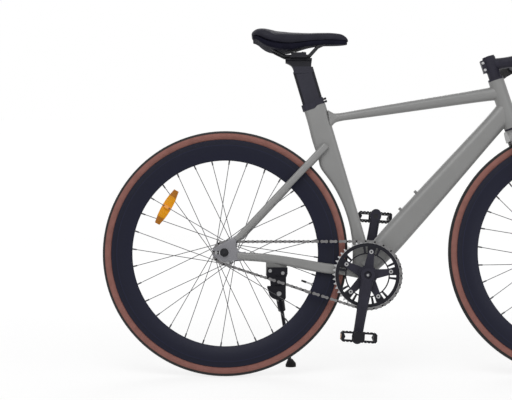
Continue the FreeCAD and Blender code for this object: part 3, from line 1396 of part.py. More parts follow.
def seat_nodes():
    """Seatpost, saddle clamp, rails, shell and pad."""
    rails = [rail_solid(side) for side in (-1.0, 1.0)]
    lower = saddle_box(-33.8, 14.2, 29.0, 8.5, RAIL_HEIGHT)
    upper = saddle_box(-30.8, 11.2, 29.0, RAIL_HEIGHT, RAIL_HEIGHT + 9.0)
    bolts = []
    for x in (-23.8, 4.2):
        head_low = SADDLE_BASE + Vector(x, 0, RAIL_HEIGHT + 9.0)
        shank = rod(SADDLE_BASE + Vector(x, 0, -7.7), head_low, 3.0)
        bolts.append(shank.fuse(rod(head_low, head_low + UP * 5.0, 5.0)).removeSplitter())
    lower = lower.cut(rails + bolts)
    upper = upper.cut(rails + bolts)
    pad = saddle_pad()
    shell = saddle_shell().cut(pad).cut(rails)
    return {
        "seatpost": [seatpost_solid().cut(bolts)],
        "saddle_clamp": [largest(lower), largest(upper)],
        "saddle_clamp_bolts": bolts,
        "saddle_rails": rails,
        "saddle_shell": [largest(shell)],
        "saddle_pad": [largest(pad.cut(rails))],
    }


def rail_solid(side):
    """Saddle rail from its socket at the tail, through the clamp, to the nose."""
    path = []
    for x, y, z in ((-101.8, 34.0, 46.3), (-75.8, 27.0, 27.3), (-49.8, RAIL_SPREAD, RAIL_HEIGHT),
                    (18.2, RAIL_SPREAD, RAIL_HEIGHT), (44.2, 15.0, 42.3), (66.2, 9.0, 51.3)):
        path.append(SADDLE_BASE + Vector(x, side * y, z))
    pieces = []
    for a, b in zip(path, path[1:]):
        pieces.append(rod(a, b, RAIL_RADIUS))
    for corner in path[1:-1]:
        pieces.append(Part.makeSphere(RAIL_RADIUS, corner))
    return fused(pieces)


SADDLE_STATIONS = [
    # distance ahead of the post's line, top, underside, half width
    (-142.8, 73.0, 62.3, 34.0),
    (-137.3, 82.4, 57.8, 50.0),
    (-119.8, 88.0, 50.8, 66.0),
    (-95.8, 85.2, 35.3, 72.5),
    (-71.8, 80.4, 29.3, 70.0),
    (-47.8, 78.9, 27.7, 61.0),
    (-21.8, 78.6, 31.3, 47.0),
    (12.2, 79.2, 39.8, 32.0),
    (44.2, 81.0, 44.7, 23.5),
    (82.2, 81.6, 45.9, 20.0),
    (110.2, 78.0, 46.9, 18.0),
    (125.6, 68.0, 48.6, 13.0),
    (130.4, 59.6, 50.1, 8.0),
]


def saddle_section(x, top, low, half):
    """Crowned cross-section of the saddle with drawn-in sides."""
    h = top - low
    steps = [
        (half * 0.86, low), ((half * 0.99, low + h * 0.26), (half, low + h * 0.5)),
        ((half * 0.88, low + h * 0.85), (half * 0.56, low + h * 0.965)),
        ((0.0, top), (-half * 0.56, low + h * 0.965)),
        ((-half * 0.88, low + h * 0.85), (-half, low + h * 0.5)),
        ((-half * 0.99, low + h * 0.26), (-half * 0.86, low))]
    return closed_wire((-half * 0.86, low), steps, lambda y, z: SADDLE_BASE + Vector(x, y, z))


def saddle_pad():
    """Padded top of the saddle."""
    wires = []
    for x, top, low, half in SADDLE_STATIONS:
        wires.append(saddle_section(x, top, low + (top - low) * 0.3, half))
    return loft(wires)


def saddle_shell():
    """Moulded base under the pad."""
    wires = []
    for x, top, low, half in SADDLE_STATIONS[1:-1]:
        wires.append(saddle_section(x, low + (top - low) * 0.45, low, half * 0.94))
    return loft(wires)


# Kickstand


def stand_box(x_span, axis_span, up_span):
    """Box in the pivot's own directions."""
    return positive(frame_box(STAND_PIVOT, (FORWARD, STAND_AXIS, STAND_UP), (x_span, axis_span, up_span)))


def stand_rod(radius, start, end):
    """Cylinder along the pivot axis."""
    return rod(STAND_PIVOT + STAND_AXIS * start, STAND_PIVOT + STAND_AXIS * end, radius)


def wheel_side_cheek(gap):
    """Wide cheek of the bracket with its rear lug, between the wheel and the eye of the leg."""
    base = STAND_PIVOT - STAND_AXIS * (gap + 4.0)
    start = (-24.0, 21.0)
    wire = closed_wire(
        start,
        [(-32.6, 21.0), ((-33.6, 17.0), (-31.4, 12.0)), (-27.0, -6.0), ((-20.0, -13.0), (-8.2, -18.6)),
         (8.0, -20.0), ((16.5, -17.5), (19.0, -9.0)), (19.0, 21.0), start],
        lambda x, up: base + FORWARD * x + STAND_UP * up)
    return positive(Part.Face(wire).extrude(STAND_AXIS * 4.0))


def stand_bracket_nodes():
    """Bracket bolted to the chainstay tab, its bolts, and the pivot bolt."""
    plate = positive(side_plate(
        by_stand(-24.6, -16.4),
        [by_stand(-26.6, -41.4), (by_stand(-25.0, -46.0), by_stand(-17.6, -47.0)), by_stand(-15.6, -68.0),
         by_stand(28.2, -68.0), by_stand(28.2, -45.0), by_stand(32.4, -34.3), by_stand(32.4, -16.4),
         by_stand(-24.6, -16.4)],
        46.5, 52.0))
    gap = STAND_EYE_WIDTH / 2 + 0.4
    outer_cheek = [stand_rod(12.0, gap, gap + 4.0), stand_box((-12.0, 12.0), (gap, gap + 4.0), (0.0, 20.0))]
    bridge = stand_box((-12.0, 19.0), (-gap - 4.0, gap + 4.0), (12.4, 21.0))
    neck = stand_box((-12.0, 19.0), (1.5, 10.5), (12.4, 46.0))
    body = fused([plate, bridge, neck, wheel_side_cheek(gap)] + outer_cheek)
    pivot_shank = stand_rod(4.0, -gap - 4.0, gap + 4.0)
    pivot_head = stand_rod(6.6, -gap - 7.4, -gap - 4.0)
    pivot_nut = stand_rod(6.0, gap + 4.0, gap + 8.5)
    bolts = [fused([pivot_shank, pivot_head, pivot_nut])]
    for x, z in stand_bolt_places():
        centre = Vector(x, 0, z)
        shank = y_disc(3.0, 46.5, 57.0, centre)
        head = y_disc(5.0, 43.5, 46.5, centre)
        nut = positive(hexagon(Vector(x, 57.0, z), LEFT, 9.5, 4.0))
        bolts.append(fused([shank, head, nut]))
    return {"kickstand_bracket": [body.cut(bolts + [stand_tab()])], "kickstand_bolts": bolts}


def stand_leg_nodes():
    """Swinging leg with its eye and sleeve, and the foot on the ground."""
    along = STAND_FOOT - STAND_PIVOT
    length = along.Length
    along = along / length
    eye = stand_rod(STAND_EYE_RADIUS, -STAND_EYE_WIDTH / 2, STAND_EYE_WIDTH / 2)
    neck = rod(STAND_PIVOT, STAND_PIVOT + along * 26.0, STAND_LEG_RADIUS - 0.7)
    sleeve_body = Part.makeCone(11.4, 10.4, 33.0, STAND_PIVOT + along * 24.0, along)
    leg = rod(STAND_PIVOT + along * 40.0, STAND_PIVOT + along * (length - 5.0), STAND_LEG_RADIUS)
    bore = stand_rod(4.0 + RUNNING_CLEARANCE, -30.0, 30.0)
    limb = fused([eye, neck, sleeve_body, leg]).cut(bore)
    foot = fused([
        rod(STAND_FOOT, STAND_FOOT + GROUND_NORMAL * 7.0, STAND_FOOT_RADIUS),
        Part.makeCone(STAND_FOOT_RADIUS, 8.0, 14.0, STAND_FOOT + GROUND_NORMAL * 7.0, along * -1.0)])
    return {"kickstand_leg": [limb], "kickstand_foot": [foot.cut(limb)]}


# Assembly


def all_nodes():
    """Every piece of the bike, by name, in the bike frame."""
    nodes = {}
    nodes.update(frame_nodes())
    nodes.update(seat_clamp_nodes())
    nodes.update(headset_nodes())
    nodes.update(bottom_bracket_nodes())
    nodes.update(stand_bracket_nodes())
    nodes.update(stand_leg_nodes())
    nodes.update(chain_nodes())
    nodes["rear_axle"] = axle_group(
        REAR_AXLE, REAR_AXLE_RADIUS, REAR_OLD, 50.0, DROPOUT_THICKNESS, 17.0)
    nodes["front_axle"] = axle_group(FRONT_AXLE, FRONT_AXLE_RADIUS, FRONT_OLD, 42.0, 6.0, 15.0)
    nodes.update(wheel_nodes(
        "rear", REAR_AXLE, REAR_FLANGE_OFFSET, 50.0, True, REAR_AXLE_RADIUS, 0.0))
    nodes.update(wheel_nodes(
        "front", FRONT_AXLE, FRONT_FLANGE_OFFSET, 42.0, False, FRONT_AXLE_RADIUS, FRONT_WHEEL_TURN))
    nodes.update(cog_nodes())
    nodes.update(crank_nodes())
    nodes.update(pedal_nodes())
    nodes.update(fork_nodes())
    nodes.update(stem_nodes())
    nodes.update(bar_nodes())
    nodes.update(seat_nodes())
    return nodes


def standing_placement(nodes):
    """Placement that leans the bike and puts the middle of its footprint at the origin."""
    lean = Placement(ORIGIN, Rotation(FORWARD, -LEAN))
    bounds = FreeCAD.BoundBox()
    for name in ("rear_tyre", "front_tyre", "grips", "pedal_right", "pedal_left", "kickstand_foot"):
        for solid in nodes[name]:
            copy = solid.copy()
            copy.Placement = lean.multiply(copy.Placement)
            bounds.add(copy.optimalBoundingBox(False, False))
    shift = Vector(-bounds.Center.x, -bounds.Center.y, -bounds.ZMin)
    return Placement(shift, Rotation()).multiply(lean)


def export_nodes():
    """Write one file for each piece."""
    nodes = all_nodes()
    stand = standing_placement(nodes)
    for name, solids in nodes.items():
        placed = []
        for solid in solids:
            copy = solid.copy()
            copy.Placement = stand.multiply(copy.Placement)
            placed.append(copy)
        shape = placed[0] if len(placed) == 1 else Part.Compound(placed)
        shape.exportStep("parts/" + name + ".step")


if __name__ == "__main__":
    export_nodes()
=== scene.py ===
import json
import math

import bmesh
import bpy
from mathutils import Matrix, Vector

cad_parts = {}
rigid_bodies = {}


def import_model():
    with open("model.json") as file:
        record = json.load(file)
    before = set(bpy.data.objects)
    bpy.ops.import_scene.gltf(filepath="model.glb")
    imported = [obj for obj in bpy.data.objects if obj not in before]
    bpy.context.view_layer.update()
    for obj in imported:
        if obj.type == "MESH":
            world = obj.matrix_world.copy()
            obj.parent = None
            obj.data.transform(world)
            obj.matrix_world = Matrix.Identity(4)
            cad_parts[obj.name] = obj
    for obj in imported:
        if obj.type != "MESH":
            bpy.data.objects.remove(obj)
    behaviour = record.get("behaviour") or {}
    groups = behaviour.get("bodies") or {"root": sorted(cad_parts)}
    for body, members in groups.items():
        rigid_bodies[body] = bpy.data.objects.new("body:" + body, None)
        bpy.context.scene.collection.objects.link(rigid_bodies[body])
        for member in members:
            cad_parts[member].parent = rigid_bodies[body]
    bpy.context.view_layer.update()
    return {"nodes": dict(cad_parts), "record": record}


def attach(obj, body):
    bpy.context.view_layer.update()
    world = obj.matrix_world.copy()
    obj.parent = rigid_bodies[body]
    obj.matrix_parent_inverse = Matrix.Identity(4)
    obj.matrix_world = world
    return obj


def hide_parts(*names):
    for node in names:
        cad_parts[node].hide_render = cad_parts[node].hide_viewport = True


# Place of the bike: built upright, x forward from the rear axle, then leaned on its kickstand
LEAN = math.radians(7.0)
SHIFT = Vector((-0.480, -0.107142, 0.000112))

# Camera on the drive side of the leaning bike, in the upright bike's directions
CAMERA_PLACE = (0.162, -4.70, 0.219)
CAMERA_TARGET = (0.0860, 0.0, 0.4891)
VIEW_WIDTH = 1.427
VIEW_END = 100.0
SENSOR = 36.0

# Stage: floor, surround, and each lamp's place, target, size and watts
FLOOR_HALF = 40.0
FLOOR_PALE = (0.85, 0.85, 0.85, 1.0)
FLOOR_GLOW_NEAR = 0.75
FLOOR_GLOW_FAR = 0.85
FLOOR_GLOW_REACH = (1.0, 5.0)
FLOOR_SHADOW = 0.36
SURROUND_LIGHT = 0.45
LAMPS = {
    "key": ((-0.8, -2.6, 2.9), (0.0, 0.0, 0.45), 2.2, 42.0),
    "fill": ((2.4, -2.4, 1.4), (0.0, 0.0, 0.45), 2.0, 14.0),
    "back": ((-0.3, 2.8, 2.4), (0.0, 0.0, 0.5), 2.0, 25.0),
}

# Wheels: axle height and wheelbase, then radii from the axle
AXLE_HEIGHT = 0.341
WHEELBASE = 0.960
VALVE_CAP_EDGE = 0.239
RIM_INNER = 0.258
VALVE_END = 0.278
TRACK_EDGE = 0.3015
BEAD_EDGE = 0.310
RIM_EDGE = 0.316
TREAD_EDGE = 0.3338

# Fine lines on tyre and rim as the speed of their waves, and the cords' share of the tread's relief
TREAD_TURNS = 300.0
TREAD_SLANT = 900.0
WALL_CORDS = 9000.0
WALL_CORD_SHARE = 0.25
TRACK_LINES = 12000.0

# Spoke reflectors: x, z and spoke angle of each on the upright bike, and a step out along the spoke
REFLECTORS = {
    "rear": (-0.1593, 0.4675, 149.7),
    "front": (0.8631, 0.1622, 69.7),
}
REFLECTOR_OUT = 0.004

# Half sizes of the reflector, its lens and its clip, with the clip's whole height last
REFLECTOR_HALF = 0.0535
LENS_HALF = 0.0335
LENS_WIDE = 0.0134
LENS_RIM = 0.0016
LENS_RIDGE = 0.0034
CLIP = (0.005, 0.007, 0.0104)

# How the lens narrows, its sections, the step down to the end blocks, and the rounding
LENS_TAPER = 2.0
LENS_STEPS = 12
BLOCK_STEP = 0.0005
BLOCK_GAP = 0.0004
LENS_BEVEL = 0.0005
CLIP_BEVEL = 0.0012

# Scallop between the stays at the dropouts: middle, radius and reach to each side
SCALLOP_X = 0.0503
SCALLOP_Z = 0.3618
SCALLOP_RADIUS = 0.0195
SCALLOP_REACH = 0.12
SCALLOP_WELD = 0.00002
SCALLOP_SHARP = math.radians(30.0)

# Drive: crank axis and arm, tooth radius, and the bare faces as distances from the middle plane
CRANK_CENTRE = (0.39345, 0.0, 0.279)
CRANK_ANGLE = -99.8
CRANK_END = 0.1762
CRANK_END_RADIUS = 0.0146
CRANK_END_BEVEL = 0.0016
CRANK_FACE = 0.0728
CRANK_BACK = 0.0600
TOOTH_EDGE = 0.0886
RING_BOLT_FACE = (0.0506, 0.0512)
CRANK_BOLT_FLOOR = (0.0670, 0.0680)

# Rounding of the pieces made here
CIRCLE_SIDES = 64
BEVEL_SEGMENTS = 3
BEVEL_ANGLE = math.radians(40.0)
SHARP_ANGLE = math.radians(12.0)

# Seat: the post's head and the flat sides past which its edges take painted shade, then the padded top's
# mesh and how it swells
POST_HEAD_HEIGHT = 0.849
POST_FLAT = 0.975
PAD_WELD = 0.0002
PAD_VOXEL = 0.004
PAD_DRAWN_IN = 0.0012
PAD_UNDERSIDE = 0.2
PAD_PRESSURE = 4.0
PAD_STEPS = 15
PAD_SWELL = 0.003
PAD_RELAX = 4

# Finish: usual range of a noise value, and the gloss of satin and dark surfaces
NOISE_LOW = 0.3
NOISE_HIGH = 0.7
LOW_GLOSS = 0.2

# Colours, as linear values
WHITE = (1.0, 1.0, 1.0)
FRAME_GREY = (0.235, 0.235, 0.232)
DROPOUT_GREY = (0.212, 0.210, 0.228)
BLACK_ALLOY = (0.0215, 0.0205, 0.0330)
# Darker copy of the black alloy: painted shade on the kickstand bracket, which sits in shade; the
# kickstand leg, saddle clamp and chainring body use it too
DEEP_BLACK_AND_SHADE = (0.0080, 0.0077, 0.0130)
POST_SLATE = (0.026, 0.0255, 0.038)
# Post head's own darker colour, also used as painted shade on the post's rounded edges
POST_HEAD_AND_EDGE_SHADE = (0.0080, 0.0078, 0.0125)
RIM_BLACK = (0.0050, 0.0058, 0.0180)
TREAD_BLACK = (0.018, 0.018, 0.019)
WALL_TAN = (0.290, 0.125, 0.104)
RUBBER_BLACK = (0.014, 0.014, 0.015)
PLASTIC_BLACK = (0.0065, 0.0065, 0.0095)
STEEL = (0.52, 0.52, 0.53)
SPOKE_GREY = (0.075, 0.075, 0.08)
BRIGHT = (0.38, 0.38, 0.385)
BOLT_GREY = (0.30, 0.30, 0.305)
OXIDE = (0.030, 0.030, 0.033)
CHAIN_BRIGHT = (0.180, 0.176, 0.178)
CHAIN_DARK = (0.020, 0.0195, 0.020)
AMBER = (0.88, 0.36, 0.004)
AMBER_BLOCK = (0.42, 0.150, 0.010)
AMBER_CLIP = (0.95, 0.40, 0.10)
LEATHER_BLACK = (0.0092, 0.0090, 0.0180)


def leaned_direction(x, y, z):
    """Direction of the upright bike in the frame of the standing one."""
    c = math.cos(LEAN)
    s = math.sin(LEAN)
    return Vector((x, y * c + z * s, z * c - y * s))


def leaned_point(x, y, z):
    """Point of the upright bike, in metres, in the frame of the standing one."""
    return leaned_direction(x, y, z) + SHIFT


def new_object(name, data):
    """Object of the scene that holds a mesh, a lamp or a camera."""
    made = bpy.data.objects.new(name, data)
    bpy.context.scene.collection.objects.link(made)
    return made


# Node helpers


def new_material(name):
    """Empty node material with its shader."""
    material = bpy.data.materials.new(name)
    material.use_nodes = True
    return material, material.node_tree, material.node_tree.nodes["Principled BSDF"]


def add(tree, kind, **values):
    """New node with some of its inputs set by name."""
    node = tree.nodes.new(kind)
    for name, value in values.items():
        node.inputs[name.replace("_", " ")].default_value = value
    return node


def link(tree, output, target):
    """Wire between two sockets."""
    tree.links.new(output, target)


def coordinates(tree):
    """Place on the object, in metres."""
    return tree.nodes.new("ShaderNodeTexCoord").outputs["Object"]


def noise(tree, place, scale, detail=3.0):
    """Noise value at a number of cells per metre."""
    node = add(tree, "ShaderNodeTexNoise", Scale=scale, Detail=detail)
    link(tree, place, node.inputs["Vector"])
    return node.outputs["Fac"]


def cells(tree, place, scale, randomness=1.0):
    """Distance from the middle of the nearest cell, at a number of cells per metre."""
    node = add(tree, "ShaderNodeTexVoronoi", Scale=scale, Randomness=randomness)
    link(tree, place, node.inputs["Vector"])
    return node.outputs["Distance"]


def math_node(tree, operation, first, second=None):
    """Result of a sum on sockets or numbers."""
    node = tree.nodes.new("ShaderNodeMath")
    node.operation = operation
    for i, value in enumerate((first, second)):
        if value is None:
            continue
        if isinstance(value, (int, float)):
            node.inputs[i].default_value = value
        else:
            link(tree, value, node.inputs[i])
    return node.outputs[0]


def vector_node(tree, operation, first, second):
    """Result node of a sum on a vector socket and a fixed vector."""
    node = tree.nodes.new("ShaderNodeVectorMath")
    node.operation = operation
    link(tree, first, node.inputs[0])
    node.inputs[1].default_value = second
    return node


def moved(tree, place, shift):
    """Place as seen from a point."""
    return vector_node(tree, "SUBTRACT", place, shift).outputs["Vector"]


def along(tree, place, direction):
    """Distance of a place along a direction."""
    return vector_node(tree, "DOT_PRODUCT", place, direction).outputs["Value"]


def mapped(tree, value, **limits):
    """Value taken from one range to another."""
    node = add(tree, "ShaderNodeMapRange", **limits)
    link(tree, value, node.inputs["Value"])
    return node.outputs["Result"]


def spread(tree, factor, low, high):
    """Noise value stretched to a range."""
    return mapped(tree, factor, From_Min=NOISE_LOW, From_Max=NOISE_HIGH, To_Min=low, To_Max=high)


def ramp(tree, factor, stops):
    """Colour at a factor, from (position, colour) stops."""
    node = tree.nodes.new("ShaderNodeValToRGB")
    while len(node.color_ramp.elements) < len(stops):
        node.color_ramp.elements.new(1.0)
    for element, (position, colour) in zip(node.color_ramp.elements, stops):
        element.position = position
        element.color = (*colour, 1.0)
    link(tree, factor, node.inputs["Fac"])
    return node.outputs["Color"]


def multiplied(tree, first, second):
    """Product of two colour sockets."""
    node = tree.nodes.new("ShaderNodeMix")
    node.data_type = "RGBA"
    node.blend_type = "MULTIPLY"
    node.inputs["Factor"].default_value = 1.0
    link(tree, first, node.inputs[6])
    link(tree, second, node.inputs[7])
    return node.outputs[2]


def between(tree, value, limits):
    """1 where a value lies between two limits."""
    return math_node(tree, "MULTIPLY", math_node(tree, "GREATER_THAN", value, limits[0]),
                     math_node(tree, "LESS_THAN", value, limits[1]))


def waves(tree, value, speed):
    """Sine of a value at a speed."""
    return math_node(tree, "SINE", math_node(tree, "MULTIPLY", value, speed))


# Shader helpers


def bump(tree, shader, height, depth, strength=1.0):
    """Relief of a real depth in metres on the shader's normal."""
    node = add(tree, "ShaderNodeBump", Strength=strength, Distance=depth)
    link(tree, height, node.inputs["Height"])
    link(tree, node.outputs["Normal"], shader.inputs["Normal"])


def uneven(tree, shader, factor, low, high):
    """Roughness that follows a noise value between two limits."""
    link(tree, spread(tree, factor, low, high), shader.inputs["Roughness"])


def gloss(shader, level):
    """Strength of the shader's plain reflection."""
    shader.inputs["Specular IOR Level"].default_value = level


def shaded(colour, share):
    """Colour made darker or lighter by a share."""
    return tuple(min(1.0, value * share) for value in colour)


def varied(tree, shader, colour, place, scale, share):
    """Base colour with a soft cloudy change of tone."""
    tone = ramp(tree, noise(tree, place, scale), [
        (NOISE_LOW, shaded(colour, 1.0 - share)), (NOISE_HIGH, shaded(colour, 1.0 + share))])
    link(tree, tone, shader.inputs["Base Color"])


def two_metals(tree, shader, factor, first, second):
    """Bare metal where a factor is 1 and a dark finish where it is 0."""
    link(tree, ramp(tree, factor, [(0.0, first), (1.0, second)]), shader.inputs["Base Color"])
    link(tree, factor, shader.inputs["Metallic"])
    uneven(tree, shader, noise(tree, coordinates(tree), scale=300.0), low=0.3, high=0.42)
    gloss(shader, LOW_GLOSS)


def wheel_place(tree, centre):
    """Radius from the axle, angle round it and distance to the side, for a wheel."""
    from_axle = moved(tree, coordinates(tree), centre)
    ahead = along(tree, from_axle, leaned_direction(1, 0, 0))
    side = along(tree, from_axle, leaned_direction(0, 1, 0))
    up = along(tree, from_axle, leaned_direction(0, 0, 1))
    squares = math_node(tree, "ADD", math_node(tree, "MULTIPLY", ahead, ahead),
                        math_node(tree, "MULTIPLY", up, up))
    radius = math_node(tree, "SQRT", squares)
    angle = math_node(tree, "ARCTAN2", up, ahead)
    return radius, angle, side


# Materials


def paint(name, colour, roughness, coat):
    """Sprayed satin paint with a fine orange-peel surface."""
    material, tree, shader = new_material(name)
    place = coordinates(tree)
    varied(tree, shader, colour, place, scale=9.0, share=0.05)
    uneven(tree, shader, noise(tree, place, scale=240.0), low=roughness - 0.04, high=roughness + 0.05)
    shader.inputs["Coat Weight"].default_value = coat
    shader.inputs["Coat Roughness"].default_value = 0.22
    bump(tree, shader, noise(tree, place, scale=700.0), depth=0.00004)
    return material


def anodised(name, colour, roughness):
    """Dark anodised metal with a fine blasted grain."""
    material, tree, shader = new_material(name)
    place = coordinates(tree)
    varied(tree, shader, colour, place, scale=60.0, share=0.15)
    gloss(shader, LOW_GLOSS)
    uneven(tree, shader, noise(tree, place, scale=300.0), low=roughness - 0.06, high=roughness + 0.08)
    bump(tree, shader, noise(tree, place, scale=2500.0), depth=0.00003)
    return material


def metal(name, colour, roughness, grain):
    """Bare metal with drawn lines along the bike."""
    material, tree, shader = new_material(name)
    place = coordinates(tree)
    varied(tree, shader, colour, place, scale=90.0, share=0.14)
    shader.inputs["Metallic"].default_value = 1.0
    stretched = vector_node(tree, "MULTIPLY", place, (grain * 0.1, grain, grain)).outputs["Vector"]
    lines = noise(tree, stretched, scale=1.0)
    uneven(tree, shader, lines, low=roughness - 0.07, high=roughness + 0.1)
    bump(tree, shader, lines, depth=0.00002)
    return material


def moulded(name, colour, roughness, scale, specular=LOW_GLOSS):
    """Moulded plastic or rubber with a fine spark texture."""
    material, tree, shader = new_material(name)
    place = coordinates(tree)
    varied(tree, shader, colour, place, scale=40.0, share=0.2)
    grain = noise(tree, place, scale, detail=5.0)
    gloss(shader, specular)
    uneven(tree, shader, grain, low=roughness - 0.08, high=roughness + 0.08)
    bump(tree, shader, grain, depth=0.00012)
    return material


def tyre_relief(tree, radius, angle, side):
    """Height of the file tread and of the fine cords in the wall."""
    turns = math_node(tree, "MULTIPLY", angle, TREAD_TURNS)
    slant = math_node(tree, "MULTIPLY", side, TREAD_SLANT)
    one = math_node(tree, "SINE", math_node(tree, "ADD", turns, slant))
    two = math_node(tree, "SINE", math_node(tree, "SUBTRACT", turns, slant))
    knurl = math_node(tree, "MULTIPLY", one, two)
    on_tread = math_node(tree, "GREATER_THAN", radius, TREAD_EDGE)
    on_wall = math_node(tree, "SUBTRACT", 1.0, on_tread)
    cords = math_node(tree, "MULTIPLY", waves(tree, radius, WALL_CORDS), on_wall)
    return math_node(tree, "ADD", math_node(tree, "MULTIPLY", knurl, on_tread),
                     math_node(tree, "MULTIPLY", cords, WALL_CORD_SHARE))


def tyre_material(name, centre):
    """Tyre with tan cord walls, a moulded bead line and a black file tread."""
    material, tree, shader = new_material(name)
    place = coordinates(tree)
    radius, angle, side = wheel_place(tree, centre)
    share = mapped(tree, radius, From_Min=BEAD_EDGE, From_Max=AXLE_HEIGHT)
    tread = (TREAD_EDGE - BEAD_EDGE) / (AXLE_HEIGHT - BEAD_EDGE)
    bands = ramp(tree, share, [
        (0.0, shaded(WALL_TAN, 0.35)),
        (0.20, shaded(WALL_TAN, 0.5)),
        (0.25, WALL_TAN),
        (tread - 0.05, shaded(WALL_TAN, 1.06)),
        (tread - 0.01, shaded(WALL_TAN, 0.8)),
        (tread, TREAD_BLACK),
    ])
    cloud = ramp(tree, noise(tree, place, scale=45.0), [
        (NOISE_LOW, shaded(WHITE, 0.82)), (NOISE_HIGH, WHITE)])
    link(tree, multiplied(tree, bands, cloud), shader.inputs["Base Color"])
    uneven(tree, shader, noise(tree, place, scale=400.0), low=0.62, high=0.8)
    gloss(shader, 0.3)
    bump(tree, shader, tyre_relief(tree, radius, angle, side), depth=0.00025)
    return material


def rim_material(name, centre):
    """Satin blue-black rim with a turned track along its edge, and painted reflection as lighter bands at
    its inner and outer edges.
    """
    material, tree, shader = new_material(name)
    place = coordinates(tree)
    radius, _, _ = wheel_place(tree, centre)
    share = mapped(tree, radius, From_Min=RIM_INNER, From_Max=RIM_EDGE)
    track = (TRACK_EDGE - RIM_INNER) / (RIM_EDGE - RIM_INNER)
    # Lighter at the inner and outer edges as painted reflection, with a bright line where the turned
    # track begins and a darker band past it
    bands = ramp(tree, share, [
        (0.0, shaded(RIM_BLACK, 1.25)),
        (track - 0.03, RIM_BLACK),
        (track - 0.008, shaded(RIM_BLACK, 2.4)),
        (track + 0.012, shaded(RIM_BLACK, 0.8)),
        (1.0, shaded(RIM_BLACK, 1.15)),
    ])
    link(tree, bands, shader.inputs["Base Color"])
    uneven(tree, shader, noise(tree, place, scale=160.0), low=0.32, high=0.42)
    gloss(shader, LOW_GLOSS)
    on_track = math_node(tree, "GREATER_THAN", radius, TRACK_EDGE)
    turned = math_node(tree, "MULTIPLY", waves(tree, radius, TRACK_LINES), on_track)
    bump(tree, shader, turned, depth=0.00003)
    return material


def post_material(name):
    """Slate seatpost with painted shade on its rounded front and back edges, and a darker head."""
    material, tree, shader = new_material(name)
    place = coordinates(tree)
    facing = tree.nodes.new("ShaderNodeNewGeometry").outputs["Normal"]
    side = along(tree, facing, leaned_direction(0, 1, 0))
    # Faces turned away from the side take the dark colour as painted shade
    flat = math_node(tree, "GREATER_THAN", math_node(tree, "ABSOLUTE", side), POST_FLAT)
    height = along(tree, place, leaned_direction(0, 0, 1))
    below = math_node(tree, "LESS_THAN", height, POST_HEAD_HEIGHT)
    cloud = spread(tree, noise(tree, place, scale=30.0), low=0.8, high=1.0)
    panel = math_node(tree, "MULTIPLY", math_node(tree, "MULTIPLY", flat, below), cloud)
    link(tree, ramp(tree, panel, [(0.0, POST_HEAD_AND_EDGE_SHADE), (1.0, POST_SLATE)]), shader.inputs["Base Color"])
    gloss(shader, LOW_GLOSS)
    uneven(tree, shader, noise(tree, place, scale=240.0), low=0.4, high=0.5)
    bump(tree, shader, noise(tree, place, scale=700.0), depth=0.00004)
    return material


def ring_material(name, centre):
    """Black chainring with bare teeth."""
    material, tree, shader = new_material(name)
    radius, _, _ = wheel_place(tree, centre)
    teeth = math_node(tree, "GREATER_THAN", radius, TOOTH_EDGE)
    two_metals(tree, shader, teeth, DEEP_BLACK_AND_SHADE, BRIGHT)
    bump(tree, shader, noise(tree, coordinates(tree), scale=2500.0), depth=0.00003)
    return material


def crank_bolt_material(name, centre):
    """Bare chainring bolt heads whose sockets take the dark alloy as painted shade, and black crank bolts
    with bare sockets.
    """
    material, tree, shader = new_material(name)
    _, _, side = wheel_place(tree, centre)
    depth = math_node(tree, "ABSOLUTE", side)
    heads = between(tree, depth, RING_BOLT_FACE)
    sockets = between(tree, depth, CRANK_BOLT_FLOOR)
    # Chainring bolts are bare only on their face ring; the dark below it in their sockets is painted
    # shade
    two_metals(tree, shader, math_node(tree, "ADD", heads, sockets), BLACK_ALLOY, BRIGHT)
    bump(tree, shader, noise(tree, coordinates(tree), scale=1500.0), depth=0.00002)
    return material


def valve_material(name, centre):
    """Rubber tube with a bare valve stem and a black cap."""
    material, tree, shader = new_material(name)
    radius, _, _ = wheel_place(tree, centre)
    stem = between(tree, radius, (VALVE_CAP_EDGE, VALVE_END))
    two_metals(tree, shader, stem, RUBBER_BLACK, BRIGHT)
    bump(tree, shader, noise(tree, coordinates(tree), scale=900.0), depth=0.00005)
    return material


def amber_material(name, centre, lens_way, half_lens):
    """Amber lens with rows of small prisms, a pale clip at its middle and darker blocks at its ends."""
    material, tree, shader = new_material(name)
    place = coordinates(tree)
    prisms = cells(tree, place, scale=420.0, randomness=0.0)
    away = along(tree, moved(tree, place, centre), lens_way)
    away = math_node(tree, "DIVIDE", math_node(tree, "ABSOLUTE", away), half_lens)
    ripple = math_node(tree, "MULTIPLY", prisms, 0.1)
    tone = ramp(tree, math_node(tree, "ADD", math_node(tree, "MULTIPLY", away, 0.5), ripple), [
        (0.0, AMBER_CLIP),
        (0.08, AMBER_CLIP),
        (0.13, AMBER),
        (0.52, shaded(AMBER, 0.85)),
        (0.56, AMBER_BLOCK),
    ])
    link(tree, tone, shader.inputs["Base Color"])
    shader.inputs["Roughness"].default_value = 0.3
    gloss(shader, LOW_GLOSS)
    bump(tree, shader, prisms, depth=0.0006)
    return material


def leather_material(name):
    """Matte black cover with a fine pebbled grain."""
    material, tree, shader = new_material(name)
    place = coordinates(tree)
    varied(tree, shader, LEATHER_BLACK, place, scale=25.0, share=0.25)
    grain = cells(tree, place, scale=900.0)
    uneven(tree, shader, grain, low=0.48, high=0.6)
    gloss(shader, 0.24)
    bump(tree, shader, grain, depth=0.00018, strength=0.6)
    return material


def reflector_axes(wheel):
    """Middle of a spoke reflector, and the directions along its lens and along its spoke."""
    x, z, angle = REFLECTORS[wheel]
    c = math.cos(math.radians(angle))
    s = math.sin(math.radians(angle))
    middle = leaned_point(x + c * REFLECTOR_OUT, 0.0, z + s * REFLECTOR_OUT)
    return middle, leaned_direction(s, 0, -c), leaned_direction(c, 0, s)


